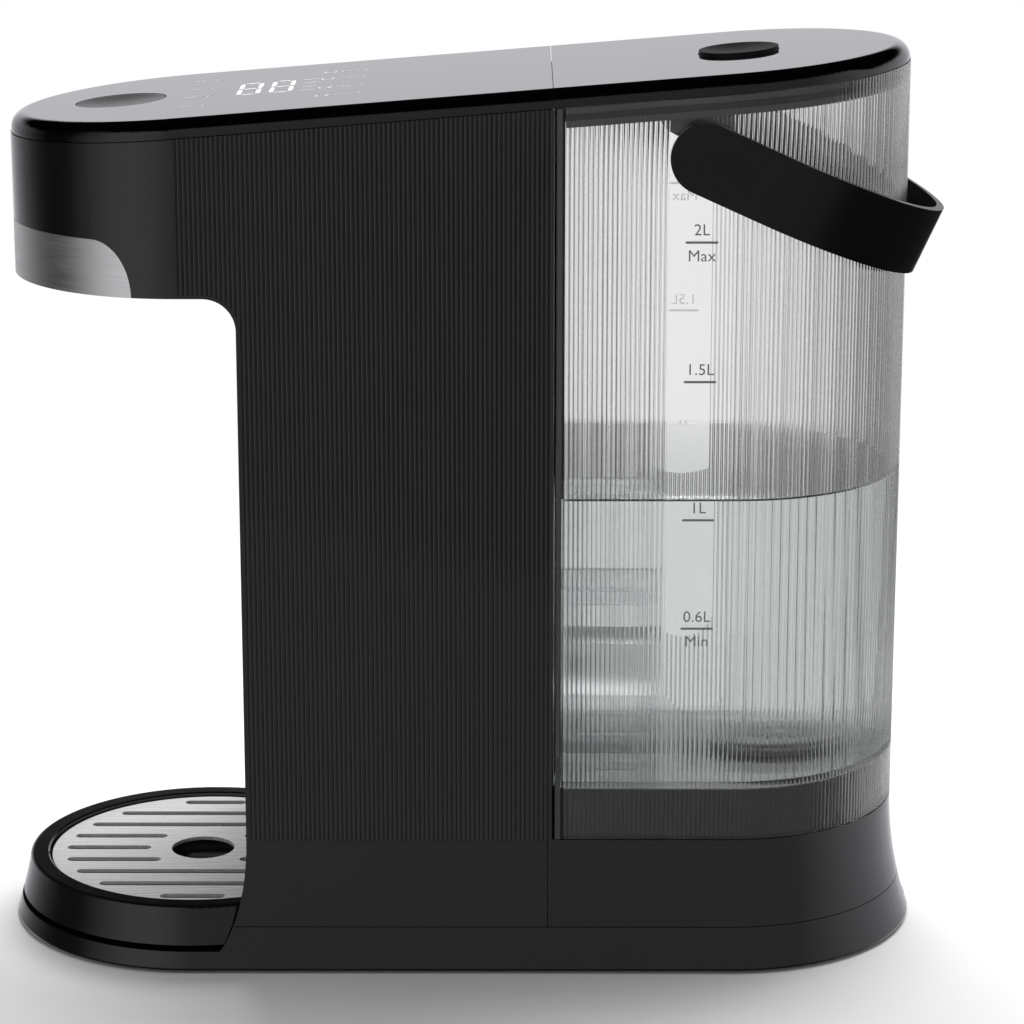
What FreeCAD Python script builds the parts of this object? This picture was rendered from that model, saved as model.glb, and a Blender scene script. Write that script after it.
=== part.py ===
import FreeCAD, Part
import math
import os
from types import SimpleNamespace

import Sketcher

# Instant hot water dispenser, in millimetres.
# +Z is up, the floor is z = 0, the spout faces -X and the water tank is at +X.
# x = 0 is the middle of the whole object's length and y = 0 is its plane of symmetry.
# In plan the body is a stadium: two half circles, one round each end centre, joined by straight sides.

os.makedirs("parts", exist_ok=True)
document = FreeCAD.newDocument("HotWaterDispenser")

# Driving sizes
DRIVING_SIZES = [
    ("front_centre_x", -92.0, "centre of the round front end"),
    ("rear_centre_x", 87.0, "centre of the round rear end"),
    ("body_radius", 57.5, "half width of the body above the skirt"),
    ("flare_radius", 130.7, "radius of the hollow flare that widens the body to its foot"),
    ("flare_top_z", 44.5, "height where the flare begins"),
    ("foot_seam_z", 15.1, "seam between the foot and what stands on it"),
    ("foot_bottom_z", 0.8, "underside of the foot, held off the floor by rubber feet"),
    ("foot_edge_radius", 1.2, "rounding of the foot's lower edge"),
    ("well_floor_z", 7.2, "top of the foot under the drip tray"),
    ("skirt_seam_x", 26.3, "seam between the front and the rear skirt"),
    ("column_rear_x", 27.8, "rear face of the column, towards the tank"),
    ("shell_wall", 2.5, "wall of the mouldings"),
    ("cup_radius", 60.65, "radius of the hollow in the column where the cup stands"),
    ("cup_flare_radius", 225.0, "radius of the flare at the foot of that hollow"),
    ("underside_z", 225.5, "underside of the head"),
    ("throat_radius", 10.5, "rounding between the column and the underside of the head"),
    ("slope", 0.08, "rise of the sloping top for each millimetre of length"),
    ("seam_z", 283.4, "height of the cover's seam at x = 0"),
    ("deck_z", 289.4, "height of the cover's top at x = 0"),
    ("seam_gap", 0.25, "gap at a seam between pieces that come apart"),
    ("cover_radius", 57.2, "half width of the cover and the lid"),
    ("cover_rounding", 5.0, "rounding of the cover's upper edge"),
    ("lid_seam_x", 27.5, "seam between the cover and the lid"),
    ("band_top_z", 243.5, "top of the steel band round the front of the head"),
    ("band_thickness", 1.2, "thickness of the steel band"),
    ("band_flat_x", -118.5, "where the band's upper edge starts to fall"),
    ("band_end_x", -105.7, "where the band ends at the underside"),
    ("spout_x", -92.5, "axis of the spout and of the drip hole"),
    ("dispense_x", -113.5, "centre of the dispense button"),
    ("dispense_radius", 14.6, "radius of the dispense button"),
    ("tank_front_x", 28.15, "outer face of the tank's flat front wall"),
    ("tank_wall", 2.4, "wall of the tank"),
    ("tank_bottom_z", 44.9, "lower edge of the tank's skirt"),
    ("tank_floor_z", 61.8, "underside of the tank's floor"),
    ("tank_floor_top_z", 64.2, "upper side of the tank's floor"),
    ("valve_x", 101.5, "axis of the tank's outlet valve"),
    ("pivot_x", 75.4, "axis of the carrying handle"),
    ("pivot_z", 270.6, "height of the handle's axis"),
    ("pin_radius", 4.0, "radius of the handle's pins"),
    ("strap_width", 22.6, "width of the handle's strap"),
    ("strap_thickness", 2.6, "thickness of the handle's strap"),
    ("strap_radius", 61.8, "outer radius of the handle's bend"),
    ("strap_bend_x", 22.3, "distance from the handle's axis to the centre of its bend"),
    ("handle_fall", 24.5, "angle of the resting handle below the horizontal"),
    ("lid_button_x", 88.5, "centre of the button in the lid"),
    ("lid_button_radius", 13.0, "radius of the button in the lid"),
    ("tray_top_z", 22.0, "top of the drip tray's rim"),
    ("tray_rim_radius", 53.2, "inner radius of the drip tray's rim"),
    ("grille_radius", 52.3, "radius of the drip grille"),
    ("grille_top_z", 20.5, "top of the drip grille"),
    ("slot_pitch", 11.56, "distance between the grille's slots"),
    ("slot_width", 3.8, "width of the grille's slots"),
    ("slot_circle", 47.5, "circle that the ends of the grille's slots lie on"),
    ("hole_radius", 10.83, "radius of the grille's round hole"),
    ("screw_radius", 1.5, "radius of the screws under the foot"),
    ("flute_pitch", 1.5, "distance between the upright flutes of the column and the tank"),
    ("flute_depth", 0.36, "depth of the flutes"),
    ("flute_low_z", 44.3, "lower end of the column's flutes"),
    ("plain_lip", 1.3, "plain lip round the hollow, where the flutes end"),
    ("window_low_x", 64.0, "front edge of the tank's plain gauge window"),
    ("window_high_x", 84.0, "rear edge of the gauge window"),
    ("window_low_z", 88.9, "lowest point of the window's round end"),
    ("window_round_z", 96.5, "height where the window's round end begins"),
]


class Size:
    """A number, together with the sheet expression that it comes from."""

    def __init__(self, value, text):
        self.value = value
        self.text = text

    def __add__(self, other):
        other = as_size(other)
        return Size(self.value + other.value, f"({self.text} + {other.text})")

    def __sub__(self, other):
        other = as_size(other)
        return Size(self.value - other.value, f"({self.text} - {other.text})")

    def __mul__(self, other):
        other = as_size(other)
        return Size(self.value * other.value, f"({self.text} * {other.text})")

    def __truediv__(self, other):
        other = as_size(other)
        return Size(self.value / other.value, f"({self.text} / {other.text})")

    def __radd__(self, other):
        return as_size(other) + self

    def __rsub__(self, other):
        return as_size(other) - self

    def __rmul__(self, other):
        return as_size(other) * self

    def __neg__(self):
        return 0 - self


def as_size(number):
    return number if isinstance(number, Size) else Size(float(number), str(float(number)))


def root(size):
    return Size(math.sqrt(size.value), f"sqrt({size.text})")


def fill_sheet():
    """Put the driving sizes in the sheet and give them back by name."""
    sheet = document.addObject("Spreadsheet::Sheet", "Sizes")
    named = {}
    for row, (alias, value, meaning) in enumerate(DRIVING_SIZES, start=1):
        sheet.set(f"A{row}", meaning)
        sheet.set(f"B{row}", str(value))
        sheet.setAlias(f"B{row}", alias)
        named[alias] = Size(value, "Sizes." + alias)
    document.recompute()
    return SimpleNamespace(**named)


size = fill_sheet()
nodes = []


def bind(item, name, amount):
    """Tie one property of an item to the sheet."""
    item.setExpression(name, as_size(amount).text)


def keep(label, item):
    """Name a finished piece and put it on the list that is written out."""
    item.Label = label
    nodes.append(item)
    return item


# Sketches and features
def new_body(name):
    return document.addObject("PartDesign::Body", name)


def sketch_on(body, role, at):
    sketch = body.newObject("Sketcher::SketchObject", body.Name + "_sketch")
    support = next(item for item in body.Origin.OriginFeatures if item.Role == role)
    sketch.AttachmentSupport = [(support, "")]
    sketch.MapMode = "FlatFace"
    for axis, offset in zip("xyz", at):
        bind(sketch, "AttachmentOffset.Base." + axis, offset)
    return sketch


def flat(u, v):
    return FreeCAD.Vector(as_size(u).value, as_size(v).value, 0)


def fix(sketch, kind, item, point, amount):
    """Hold one coordinate of a sketch point at an amount from the sheet."""
    amount = as_size(amount)
    index = sketch.addConstraint(Sketcher.Constraint(kind, -1, 1, item, point, amount.value))
    sketch.setExpression(f"Constraints[{index}]", amount.text)


def draw_loop(sketch, corners):
    """Draw a closed loop. A corner (u, v) starts a line, and a corner (u, v, centre, way) starts an arc."""
    base = sketch.GeometryCount
    ends = []
    for corner, following in zip(corners, corners[1:] + corners[:1]):
        start = flat(*corner[:2])
        finish = flat(*following[:2])
        if len(corner) == 2:
            sketch.addGeometry(Part.LineSegment(start, finish))
            ends.append((1, 2))
            continue
        centre = flat(*corner[2])
        first, last = (start, finish) if corner[3] == "left" else (finish, start)
        circle = Part.Circle(centre, FreeCAD.Vector(0, 0, 1), (start - centre).Length)
        first_angle = math.atan2(first.y - centre.y, first.x - centre.x)
        last_angle = math.atan2(last.y - centre.y, last.x - centre.x)
        sketch.addGeometry(Part.ArcOfCircle(circle, first_angle, last_angle))
        ends.append((1, 2) if corner[3] == "left" else (2, 1))
    for index, corner in enumerate(corners):
        item = base + index
        following = (index + 1) % len(corners)
        sketch.addConstraint(Sketcher.Constraint("Coincident", item, ends[index][1],
                                                 base + following, ends[following][0]))
        fix(sketch, "DistanceX", item, ends[index][0], corner[0])
        fix(sketch, "DistanceY", item, ends[index][0], corner[1])
        if len(corner) > 2:
            chord = flat(*corners[following][:2]) - flat(*corner[:2])
            upright = abs(chord.y) > abs(chord.x)
            kind, amount = ("DistanceX", corner[2][0]) if upright else ("DistanceY", corner[2][1])
            fix(sketch, kind, item, 3, amount)


def draw_circle(sketch, u, v, radius):
    item = sketch.addGeometry(Part.Circle(flat(u, v), FreeCAD.Vector(0, 0, 1), as_size(radius).value))
    fix(sketch, "DistanceX", item, 3, u)
    fix(sketch, "DistanceY", item, 3, v)
    index = sketch.addConstraint(Sketcher.Constraint("Radius", item, as_size(radius).value))
    sketch.setExpression(f"Constraints[{index}]", as_size(radius).text)


def loops(body, role, *outlines, at=(0, 0, 0)):
    sketch = sketch_on(body, role, at)
    for corners in outlines:
        draw_loop(sketch, corners)
    return sketch


def circles(body, role, *rounds, at=(0, 0, 0)):
    sketch = sketch_on(body, role, at)
    for u, v, radius in rounds:
        draw_circle(sketch, u, v, radius)
    return sketch


def extrude(body, kind, sketch, length, both_ways=False, backwards=False):
    feature = body.newObject("PartDesign::" + kind, body.Name + "_" + kind)
    feature.Profile = sketch
    bind(feature, "Length", length)
    feature.Midplane = both_ways
    feature.Reversed = backwards
    sketch.Visibility = False
    return feature


def pad(body, sketch, length, both_ways=False, backwards=False):
    return extrude(body, "Pad", sketch, length, both_ways, backwards)


def cut_up(body, sketch, length):
    """Cut from a sketch towards the side that it faces."""
    return extrude(body, "Pocket", sketch, length, backwards=True)


def cut_through(body, sketch, length):
    return extrude(body, "Pocket", sketch, length, both_ways=True)


def turn(body, kind, sketch, axis="V_Axis"):
    """Turn a profile a whole turn round one of its sketch's axes."""
    feature = body.newObject("PartDesign::" + kind, body.Name + "_" + kind)
    feature.Profile = sketch
    feature.ReferenceAxis = (sketch, [axis])
    feature.Angle = 360
    sketch.Visibility = False
    return feature


def flute_outline(side, at_x):
    """Plan of one upright flute in a side face. Its two flanks are round."""
    half = size.flute_pitch / 2 - 0.05
    floor = as_size(0.1)
    flank = half - floor
    depth = size.flute_depth
    radius = (flank * flank + depth * depth) / (depth * 2)
    face = size.body_radius * side
    bottom = face - depth * side
    centre_y = face - radius * side
    over = face + as_size(0.1 * side)
    way = "right" if side > 0 else "left"
    return [(at_x - half, face, (at_x - half, centre_y), way), (at_x - floor, bottom),
            (at_x + floor, bottom, (at_x + half, centre_y), way), (at_x + half, face),
            (at_x + half, over), (at_x - half, over)]


def repeat_along(body, feature, length, count, backwards=False):
    """Repeat a feature along the X axis."""
    pattern = body.newObject("PartDesign::LinearPattern", feature.Name + "_row")
    pattern.Originals = [feature]
    x_axis = next(item for item in body.Origin.OriginFeatures if item.Role == "X_Axis")
    pattern.Direction = (x_axis, [""])
    pattern.Reversed = backwards
    bind(pattern, "Length", length)
    pattern.Occurrences = count
    body.Tip = pattern
    return pattern


def repeat_round(body, feature, centre_x, angle, count):
    """Repeat a feature round an upright axis on the plane of symmetry."""
    pattern = body.newObject("PartDesign::PolarPattern", feature.Name + "_ring")
    pattern.Originals = [feature]
    axis_sketch = circles(body, "XY_Plane", (0, 0, 1), at=(centre_x, 0, 0))
    axis_sketch.Visibility = False
    pattern.Axis = (axis_sketch, ["N_Axis"])
    pattern.Angle = angle
    pattern.Occurrences = count
    body.Tip = pattern
    return pattern


# Lengths that reach past every face that they cut, and gaps for pieces that pass each other
REACH = 200
SKY = 500
HEADROOM = 80
FREE_GAP = 0.2


def cut_above(body, height):
    """Cut everything above the sloping plane that passes x = 0 at this height."""
    corners = [(-REACH, height - size.slope * REACH), (REACH, height + size.slope * REACH),
               (REACH, SKY), (-REACH, SKY)]
    return cut_through(body, loops(body, "XZ_Plane", corners), SKY)


def cut_below(body, height):
    """Cut everything below the sloping plane that passes x = 0 at this height."""
    corners = [(REACH, height + size.slope * REACH), (-REACH, height - size.slope * REACH),
               (-REACH, 0), (REACH, 0)]
    return cut_through(body, loops(body, "XZ_Plane", corners), SKY)


# Primitives and booleans
def place(item, x, y, z):
    for axis, amount in zip("xyz", (x, y, z)):
        bind(item, "Placement.Base." + axis, amount)
    return item


AXIS_TURNS = {"Z": (0, 0, 1, 0), "X": (0, 1, 0, 90), "Y": (1, 0, 0, -90)}


def cylinder(name, centre, radius, length, axis="Z"):
    """A cylinder from the centre of its first face along X, Y or Z."""
    item = document.addObject("Part::Cylinder", name)
    bind(item, "Radius", radius)
    bind(item, "Height", length)
    x, y, z, angle = AXIS_TURNS[axis]
    item.Placement = FreeCAD.Placement(FreeCAD.Vector(), FreeCAD.Rotation(FreeCAD.Vector(x, y, z), angle))
    return place(item, *centre)


def box(name, low, high):
    """A box between its lowest and its highest corner."""
    item = document.addObject("Part::Box", name)
    for side, first, last in zip(("Length", "Width", "Height"), low, high):
        bind(item, side, as_size(last) - first)
    return place(item, *low)


def sloping_box(name, low, high):
    """A box whose underside and top follow the slope of the cover. Its z sizes are those at x = 0."""
    item = box(name, low, high)
    angle = math.degrees(math.atan(size.slope.value))
    base = FreeCAD.Vector()
    item.Placement = FreeCAD.Placement(base, FreeCAD.Rotation(FreeCAD.Vector(0, 1, 0), -angle))
    return place(item, low[0], low[1], low[2] + size.slope * low[0])


def cut(name, base, tool):
    item = document.addObject("Part::Cut", name)
    item.Base = base
    item.Tool = tool
    return item


def common(name, base, tool):
    item = document.addObject("Part::Common", name)
    item.Base = base
    item.Tool = tool
    return item


def fuse(name, *pieces):
    item = document.addObject("Part::MultiFuse", name)
    item.Shapes = list(pieces)
    item.Refine = True
    return item


def group(name, pieces):
    item = document.addObject("Part::Compound", name)
    item.Links = list(pieces)
    return item


def turned(name, centre, profile):
    """A turned piece. The profile's points are radius and height, and the axis is upright."""
    body = new_body(name)
    sketch = loops(body, "XZ_Plane", profile, at=(centre[0], 0, -as_size(centre[1])))
    turn(body, "Revolution", sketch)
    return body


def ring(name, centre, inner, outer, low, high):
    return turned(name, centre, [(inner, low), (outer, low), (outer, high), (inner, high)])


def flare(height):
    """Half width of the flared body at a height below the flare's top."""
    drop = size.flare_top_z - height
    return size.body_radius + size.flare_radius - root(size.flare_radius * size.flare_radius - drop * drop)


def cup_hollow(height):
    """Radius of the hollow in the column at a height below the flare's top."""
    drop = size.flare_top_z - height
    return (size.cup_radius + size.cup_flare_radius
            - root(size.cup_flare_radius * size.cup_flare_radius - drop * drop))


def plan(front_x, half_width):
    """Plan outline with a square front at front_x and the round rear end."""
    return [(front_x, -half_width), (size.rear_centre_x, -half_width, (size.rear_centre_x, 0), "left"),
            (size.rear_centre_x, half_width), (front_x, half_width)]


def rounded_plan(front_x, half_width, corner):
    """The same with rounded front corners."""
    side = half_width - corner
    inner_x = front_x + corner
    return [(inner_x, -half_width), (size.rear_centre_x, -half_width, (size.rear_centre_x, 0), "left"),
            (size.rear_centre_x, half_width), (inner_x, half_width, (inner_x, side), "left"),
            (front_x, side), (front_x, -side, (inner_x, -side), "left")]


def front_plan(rear_x, half_width):
    """Plan outline with a square rear at rear_x and the round front end."""
    return [(rear_x, -half_width), (rear_x, half_width),
            (size.front_centre_x, half_width, (size.front_centre_x, 0), "left"),
            (size.front_centre_x, -half_width)]


def column_plan(rear_x, half_width, hollow_radius):
    """Plan outline with a square rear and a front that follows the cup's hollow."""
    corner_x = size.front_centre_x + root(hollow_radius * hollow_radius - half_width * half_width)
    return [(rear_x, -half_width), (rear_x, half_width),
            (corner_x, half_width, (size.front_centre_x, 0), "right"), (corner_x, -half_width)]


def hose(name, radius, bore, points):
    """A hose along straight runs joined by arcs nearly as large as the runs allow."""
    part_of_run = 0.45
    places = [FreeCAD.Vector(*[as_size(amount).value for amount in point]) for point in points]
    edges = []
    start = places[0]
    for before, corner, after in zip(places, places[1:], places[2:]):
        arriving = (corner - before).normalize()
        leaving = (after - corner).normalize()
        reach = part_of_run * min((corner - before).Length, (after - corner).Length)
        first = corner - arriving * reach
        last = corner + leaving * reach
        half_turn = arriving.getAngle(leaving) / 2
        bend = reach / math.tan(half_turn)
        inward = (leaving - arriving).normalize()
        middle = corner + inward * (bend / math.cos(half_turn) - bend)
        edges.append(Part.LineSegment(start, first).toShape())
        edges.append(Part.Arc(first, middle, last).toShape())
        start = last
    edges.append(Part.LineSegment(start, places[-1]).toShape())
    path = Part.Wire(edges)
    direction = places[1] - places[0]
    tubes = []
    for tube_radius in (radius, bore):
        section = Part.Wire([Part.makeCircle(tube_radius, places[0], direction)])
        tubes.append(path.makePipeShell([section], True, False))
    item = document.addObject("Part::Feature", name)
    item.Shape = tubes[0].cut(tubes[1])
    return item


# Foot
FLOOR_TOP_Z = 3.8
PAN_HALF_WIDTH = 58
PAN_FRONT_RADIUS = 66.5
SCREW_PLACES = [(-40, 51.5), (15, 51.5), (60, 50), (125, 35)]
BOSS_RADIUS = 5.5
BOSS_HEIGHT = 2.2
SCREW_HEAD_RADIUS = 3.2
SCREW_HEAD_LOW_Z = 1.3
SCREW_HEAD_TOP_Z = 3.4
SCREW_SHANK_LENGTH = 11
FEET_PLACES = [(-135, 30), (0, 50), (125, 20)]
PAD_RADIUS = 7
PAD_TOP_Z = 1.8
REAR_WALL_X = size.rear_centre_x + PAN_HALF_WIDTH
GLAND_Z = 9.2
GLAND_NECK = 4.3
GLAND_NUT = 5.1
GLAND_FLANGE = 5
GLAND_BORE = 3.2


def both_sides(places):
    return [(x, side * y) for x, y in places for side in (-1, 1)]


def flared_section(low, high):
    """Whole cross section of the flared body between two heights."""
    arc_x = size.body_radius + size.flare_radius
    return [(-flare(low), low), (flare(low), low, (arc_x, size.flare_top_z), "right"),
            (flare(high), high), (-flare(high), high, (-arc_x, size.flare_top_z), "right")]


def make_base_foot():
    edge = size.foot_edge_radius
    low = size.foot_bottom_z
    knee_z = low + edge
    knee = flare(knee_z)
    seam = size.foot_seam_z
    arc_x = size.body_radius + size.flare_radius
    arc_z = size.flare_top_z
    flat_end = knee - edge
    body = new_body("foot")
    half = [(0, low), (flat_end, low, (flat_end, knee_z), "left"), (knee, knee_z, (arc_x, arc_z), "right"),
            (flare(seam), seam), (0, seam)]
    whole = [(-flat_end, low), (flat_end, low, (flat_end, knee_z), "left"),
             (knee, knee_z, (arc_x, arc_z), "right"), (flare(seam), seam),
             (-flare(seam), seam, (-arc_x, arc_z), "right"), (-knee, knee_z, (-flat_end, knee_z), "left")]
    pad(body, loops(body, "YZ_Plane", whole, at=(0, 0, size.front_centre_x)),
        size.rear_centre_x - size.front_centre_x)
    turn(body, "Revolution", loops(body, "XZ_Plane", half, at=(size.front_centre_x, 0, 0)))
    turn(body, "Revolution", loops(body, "XZ_Plane", half, at=(size.rear_centre_x, 0, 0)))

    # The round well that the drip tray slides into
    floor = size.well_floor_z
    top = seam + 1
    hollow_arc_x = size.cup_radius + size.cup_flare_radius
    hollow = [(0, floor), (cup_hollow(floor), floor, (hollow_arc_x, arc_z), "right"),
              (cup_hollow(top), top), (0, top)]
    turn(body, "Groove", loops(body, "XZ_Plane", hollow, at=(size.front_centre_x, 0, 0)))

    # The open pan under the column and the tank
    corner_x = size.front_centre_x + root(as_size(PAN_FRONT_RADIUS ** 2 - PAN_HALF_WIDTH ** 2))
    pan = [(size.rear_centre_x, -PAN_HALF_WIDTH, (size.rear_centre_x, 0), "left"),
           (size.rear_centre_x, PAN_HALF_WIDTH),
           (corner_x, PAN_HALF_WIDTH, (size.front_centre_x, 0), "right"), (corner_x, -PAN_HALF_WIDTH)]
    cut_up(body, loops(body, "XY_Plane", pan, at=(0, 0, FLOOR_TOP_Z)), seam)

    # Bosses, screw holes with counterbores, pockets for the rubber feet, and the cord's hole
    places = both_sides(SCREW_PLACES)
    bosses = circles(body, "XY_Plane", *[(x, y, BOSS_RADIUS) for x, y in places], at=(0, 0, FLOOR_TOP_Z))
    pad(body, bosses, BOSS_HEIGHT)
    shank_hole = size.screw_radius + FREE_GAP
    cut_up(body, circles(body, "XY_Plane", *[(x, y, shank_hole) for x, y in places]), seam)
    head_hole = SCREW_HEAD_RADIUS + 0.4
    cut_up(body, circles(body, "XY_Plane", *[(x, y, head_hole) for x, y in places]), SCREW_HEAD_TOP_Z)
    pockets = [(x, y, PAD_RADIUS + FREE_GAP) for x, y in both_sides(FEET_PLACES)]
    cut_up(body, circles(body, "XY_Plane", *pockets), PAD_TOP_Z)
    cord_hole = circles(body, "YZ_Plane", (0, GLAND_Z, GLAND_NECK + 0.1), at=(0, 0, REAR_WALL_X - 4))
    cut_up(body, cord_hole, REACH)
    recess = circles(body, "YZ_Plane", (0, GLAND_Z, GLAND_FLANGE + FREE_GAP), at=(0, 0, REAR_WALL_X + 1.6))
    cut_up(body, recess, REACH)
    keep("base_foot", body)


make_base_foot()

foot_pads = [cylinder("foot_pad", (x, y, 0), PAD_RADIUS, PAD_TOP_Z) for x, y in both_sides(FEET_PLACES)]
keep("rubber_feet", group("foot_pads", foot_pads))


def make_screw(x, y):
    """A pan head under the foot and a plain shank up into its post."""
    head_height = SCREW_HEAD_TOP_Z - SCREW_HEAD_LOW_Z
    head = cylinder("screw_head", (x, y, SCREW_HEAD_LOW_Z), SCREW_HEAD_RADIUS, head_height)
    shank_low_z = SCREW_HEAD_TOP_Z - 0.2
    shank = cylinder("screw_shank", (x, y, shank_low_z), size.screw_radius, SCREW_SHANK_LENGTH)
    return fuse("screw", head, shank)


keep("base_screws", group("screws", [make_screw(x, y) for x, y in both_sides(SCREW_PLACES)]))


def make_cord_gland():
    """A bush let into the foot's rear wall, with a flange in a recess, a nut inside and an open bore."""
    body = new_body("gland")
    inner_end = REAR_WALL_X - 9.7
    nut_inner = REAR_WALL_X - 3.2
    nut_outer = REAR_WALL_X - 0.3
    flange_inner = REAR_WALL_X + 1.7
    flange_edge = REAR_WALL_X + 2.4
    outer_end = REAR_WALL_X + 2.8
    profile = [(inner_end, GLAND_BORE), (inner_end, GLAND_NECK), (nut_inner, GLAND_NECK),
               (nut_inner, GLAND_NUT), (nut_outer, GLAND_NUT), (nut_outer, GLAND_NECK),
               (flange_inner, GLAND_NECK), (flange_inner, GLAND_FLANGE), (flange_edge, GLAND_FLANGE),
               (outer_end, GLAND_FLANGE - 0.4), (outer_end, GLAND_BORE)]
    turn(body, "Revolution", loops(body, "XZ_Plane", profile, at=(0, GLAND_Z, 0)), axis="H_Axis")
    keep("cord_gland", body)


make_cord_gland()

# Column and head
POST_LOW_Z = 6.2
POST_RADIUS = 4.2
POST_LENGTH = 36
CAVITY_HALF_WIDTH = 55
CAVITY_FRONT_RADIUS = 65
HEAD_FLOOR_Z = 228
NOZZLE_HOLE_RADIUS = 11


def add_posts(body, places):
    """Screw posts that reach down to the foot's bosses."""
    low = (0, 0, POST_LOW_Z)
    pad(body, circles(body, "XY_Plane", *[(x, y, POST_RADIUS) for x, y in places], at=low), POST_LENGTH)
    screw_holes = circles(body, "XY_Plane", *[(x, y, size.screw_radius) for x, y in places], at=low)
    cut_up(body, screw_holes, SCREW_SHANK_LENGTH + 1)


def band_side(name, clearance):
    """The steel band's side view: flat on top, then a falling quarter of an ellipse."""
    low = size.underside_z
    high = size.band_top_z + clearance
    front = box(name + "_front", (-REACH, -REACH, low - 1), (size.band_flat_x, REACH, high))
    oval = document.addObject("Part::Ellipse", name + "_oval")
    bind(oval, "MajorRadius", high - low)
    bind(oval, "MinorRadius", size.band_end_x - size.band_flat_x + clearance)
    oval.Placement = FreeCAD.Placement(FreeCAD.Vector(), FreeCAD.Rotation(FreeCAD.Vector(1, 1, 1), -120))
    place(oval, size.band_flat_x, 0, low)
    end = document.addObject("Part::Extrusion", name + "_end")
    end.Base = oval
    end.DirMode = "Custom"
    end.Dir = FreeCAD.Vector(0, 1, 0)
    end.LengthFwd = SKY
    end.Symmetric = True
    end.Solid = True
    return fuse(name, front, end)


def make_column_flutes():
    """Cutters for the flutes of both flat sides. They leave a plain lip round the hollow's edge."""
    count = 79
    body = new_body("column_flutes")
    first_x = size.front_centre_x + size.flute_pitch
    sketch = loops(body, "XY_Plane", flute_outline(-1, first_x), flute_outline(1, first_x),
                   at=(0, 0, size.flute_low_z))
    repeat_along(body, pad(body, sketch, REACH * 2), size.flute_pitch * (count - 1), count)
    half_width = size.body_radius
    edge_x = size.front_centre_x + root(size.cup_radius * size.cup_radius - half_width * half_width)
    lip_x = edge_x + size.plain_lip
    throat_z = size.underside_z - size.throat_radius
    centre = (edge_x - size.throat_radius, throat_z)
    front = size.front_centre_x - size.flute_pitch * 2
    lip_z = size.underside_z + size.plain_lip
    plain = [(front, 0), (lip_x, 0), (lip_x, throat_z, centre, "left"), (centre[0], lip_z), (front, lip_z)]
    cut_through(body, loops(body, "XZ_Plane", plain), REACH)
    return body


def make_main_shell():
    body = new_body("column")
    outline = front_plan(size.column_rear_x, size.body_radius)
    height = size.seam_z + HEADROOM - size.flare_top_z
    pad(body, loops(body, "XY_Plane", outline, at=(0, 0, size.flare_top_z)), height)
    pad(body, loops(body, "YZ_Plane", flared_section(size.foot_seam_z + size.seam_gap, size.flare_top_z),
                    at=(0, 0, size.front_centre_x)), size.skirt_seam_x - size.front_centre_x)
    cut_above(body, size.seam_z)

    # The hollow where the cup stands, with its flared foot
    low = size.foot_seam_z - 1
    throat_z = size.underside_z - size.throat_radius
    flare_centre = (size.cup_radius + size.cup_flare_radius, size.flare_top_z)
    hollow = [(0, low), (cup_hollow(low), low, flare_centre, "right"), (size.cup_radius, size.flare_top_z),
              (size.cup_radius, throat_z), (0, throat_z)]
    turn(body, "Groove", loops(body, "XZ_Plane", hollow, at=(size.front_centre_x, 0, 0)))

    # Its rounded throat: the side view carried along the hollow's plan
    side = size.body_radius + 1
    wall_x = size.front_centre_x + root(size.cup_radius * size.cup_radius - side * side)
    arc = sketch_on(body, "XY_Plane", (0, 0, throat_z))
    spread = math.asin(side.value / size.cup_radius.value)
    rim = Part.Circle(flat(size.front_centre_x, 0), FreeCAD.Vector(0, 0, 1), size.cup_radius.value)
    arc.addGeometry(Part.ArcOfCircle(rim, -spread, spread))
    fix(arc, "DistanceX", 0, 3, size.front_centre_x)
    fix(arc, "DistanceY", 0, 3, 0)
    fix(arc, "DistanceY", 0, 1, -side)
    fix(arc, "DistanceY", 0, 2, side)
    arc.addConstraint(Sketcher.Constraint("Radius", 0, size.cup_radius.value))
    under = throat_z - 5
    turn_x = wall_x - size.throat_radius
    outline = [(wall_x - REACH, under), (wall_x, under), (wall_x, throat_z, (turn_x, throat_z), "left"),
               (turn_x, size.underside_z), (wall_x - REACH, size.underside_z)]
    throat = body.newObject("PartDesign::SubtractivePipe", "column_throat")
    throat.Profile = loops(body, "XZ_Plane", outline, at=(0, 0, side))
    throat.Spine = (arc, ["Edge1"])
    throat.Mode = "Fixed"

    # The space inside the column and the head
    column_inside = column_plan(size.column_rear_x + 1, CAVITY_HALF_WIDTH, as_size(CAVITY_FRONT_RADIUS))
    cut_up(body, loops(body, "XY_Plane", column_inside, at=(0, 0, low)), REACH * 2)
    head_inside = front_plan(as_size(0), as_size(CAVITY_HALF_WIDTH))
    cut_up(body, loops(body, "XY_Plane", head_inside, at=(0, 0, HEAD_FLOOR_Z)), REACH)
    add_posts(body, both_sides(SCREW_PLACES[:2]))
    under_head = (0, 0, size.underside_z - 1)
    cut_up(body, circles(body, "XY_Plane", (size.spout_x, 0, NOZZLE_HOLE_RADIUS), at=under_head), 5)

    seat_radius = size.body_radius - size.band_thickness - 0.05
    seat = ring("band_seat", (size.front_centre_x, 0), seat_radius, size.body_radius + 1,
                size.underside_z - 1, size.band_top_z + 1)
    recess = common("band_recess", seat, band_side("band_recess_side", as_size(0.1)))
    keep("main_shell", cut("shell", cut("plain_shell", body, recess), make_column_flutes()))


make_main_shell()

band_ring = ring("band_ring", (size.front_centre_x, 0), size.body_radius - size.band_thickness,
                 size.body_radius, size.underside_z, size.band_top_z)
keep("spout_band", common("band", band_ring, band_side("band_side", as_size(0))))

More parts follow.
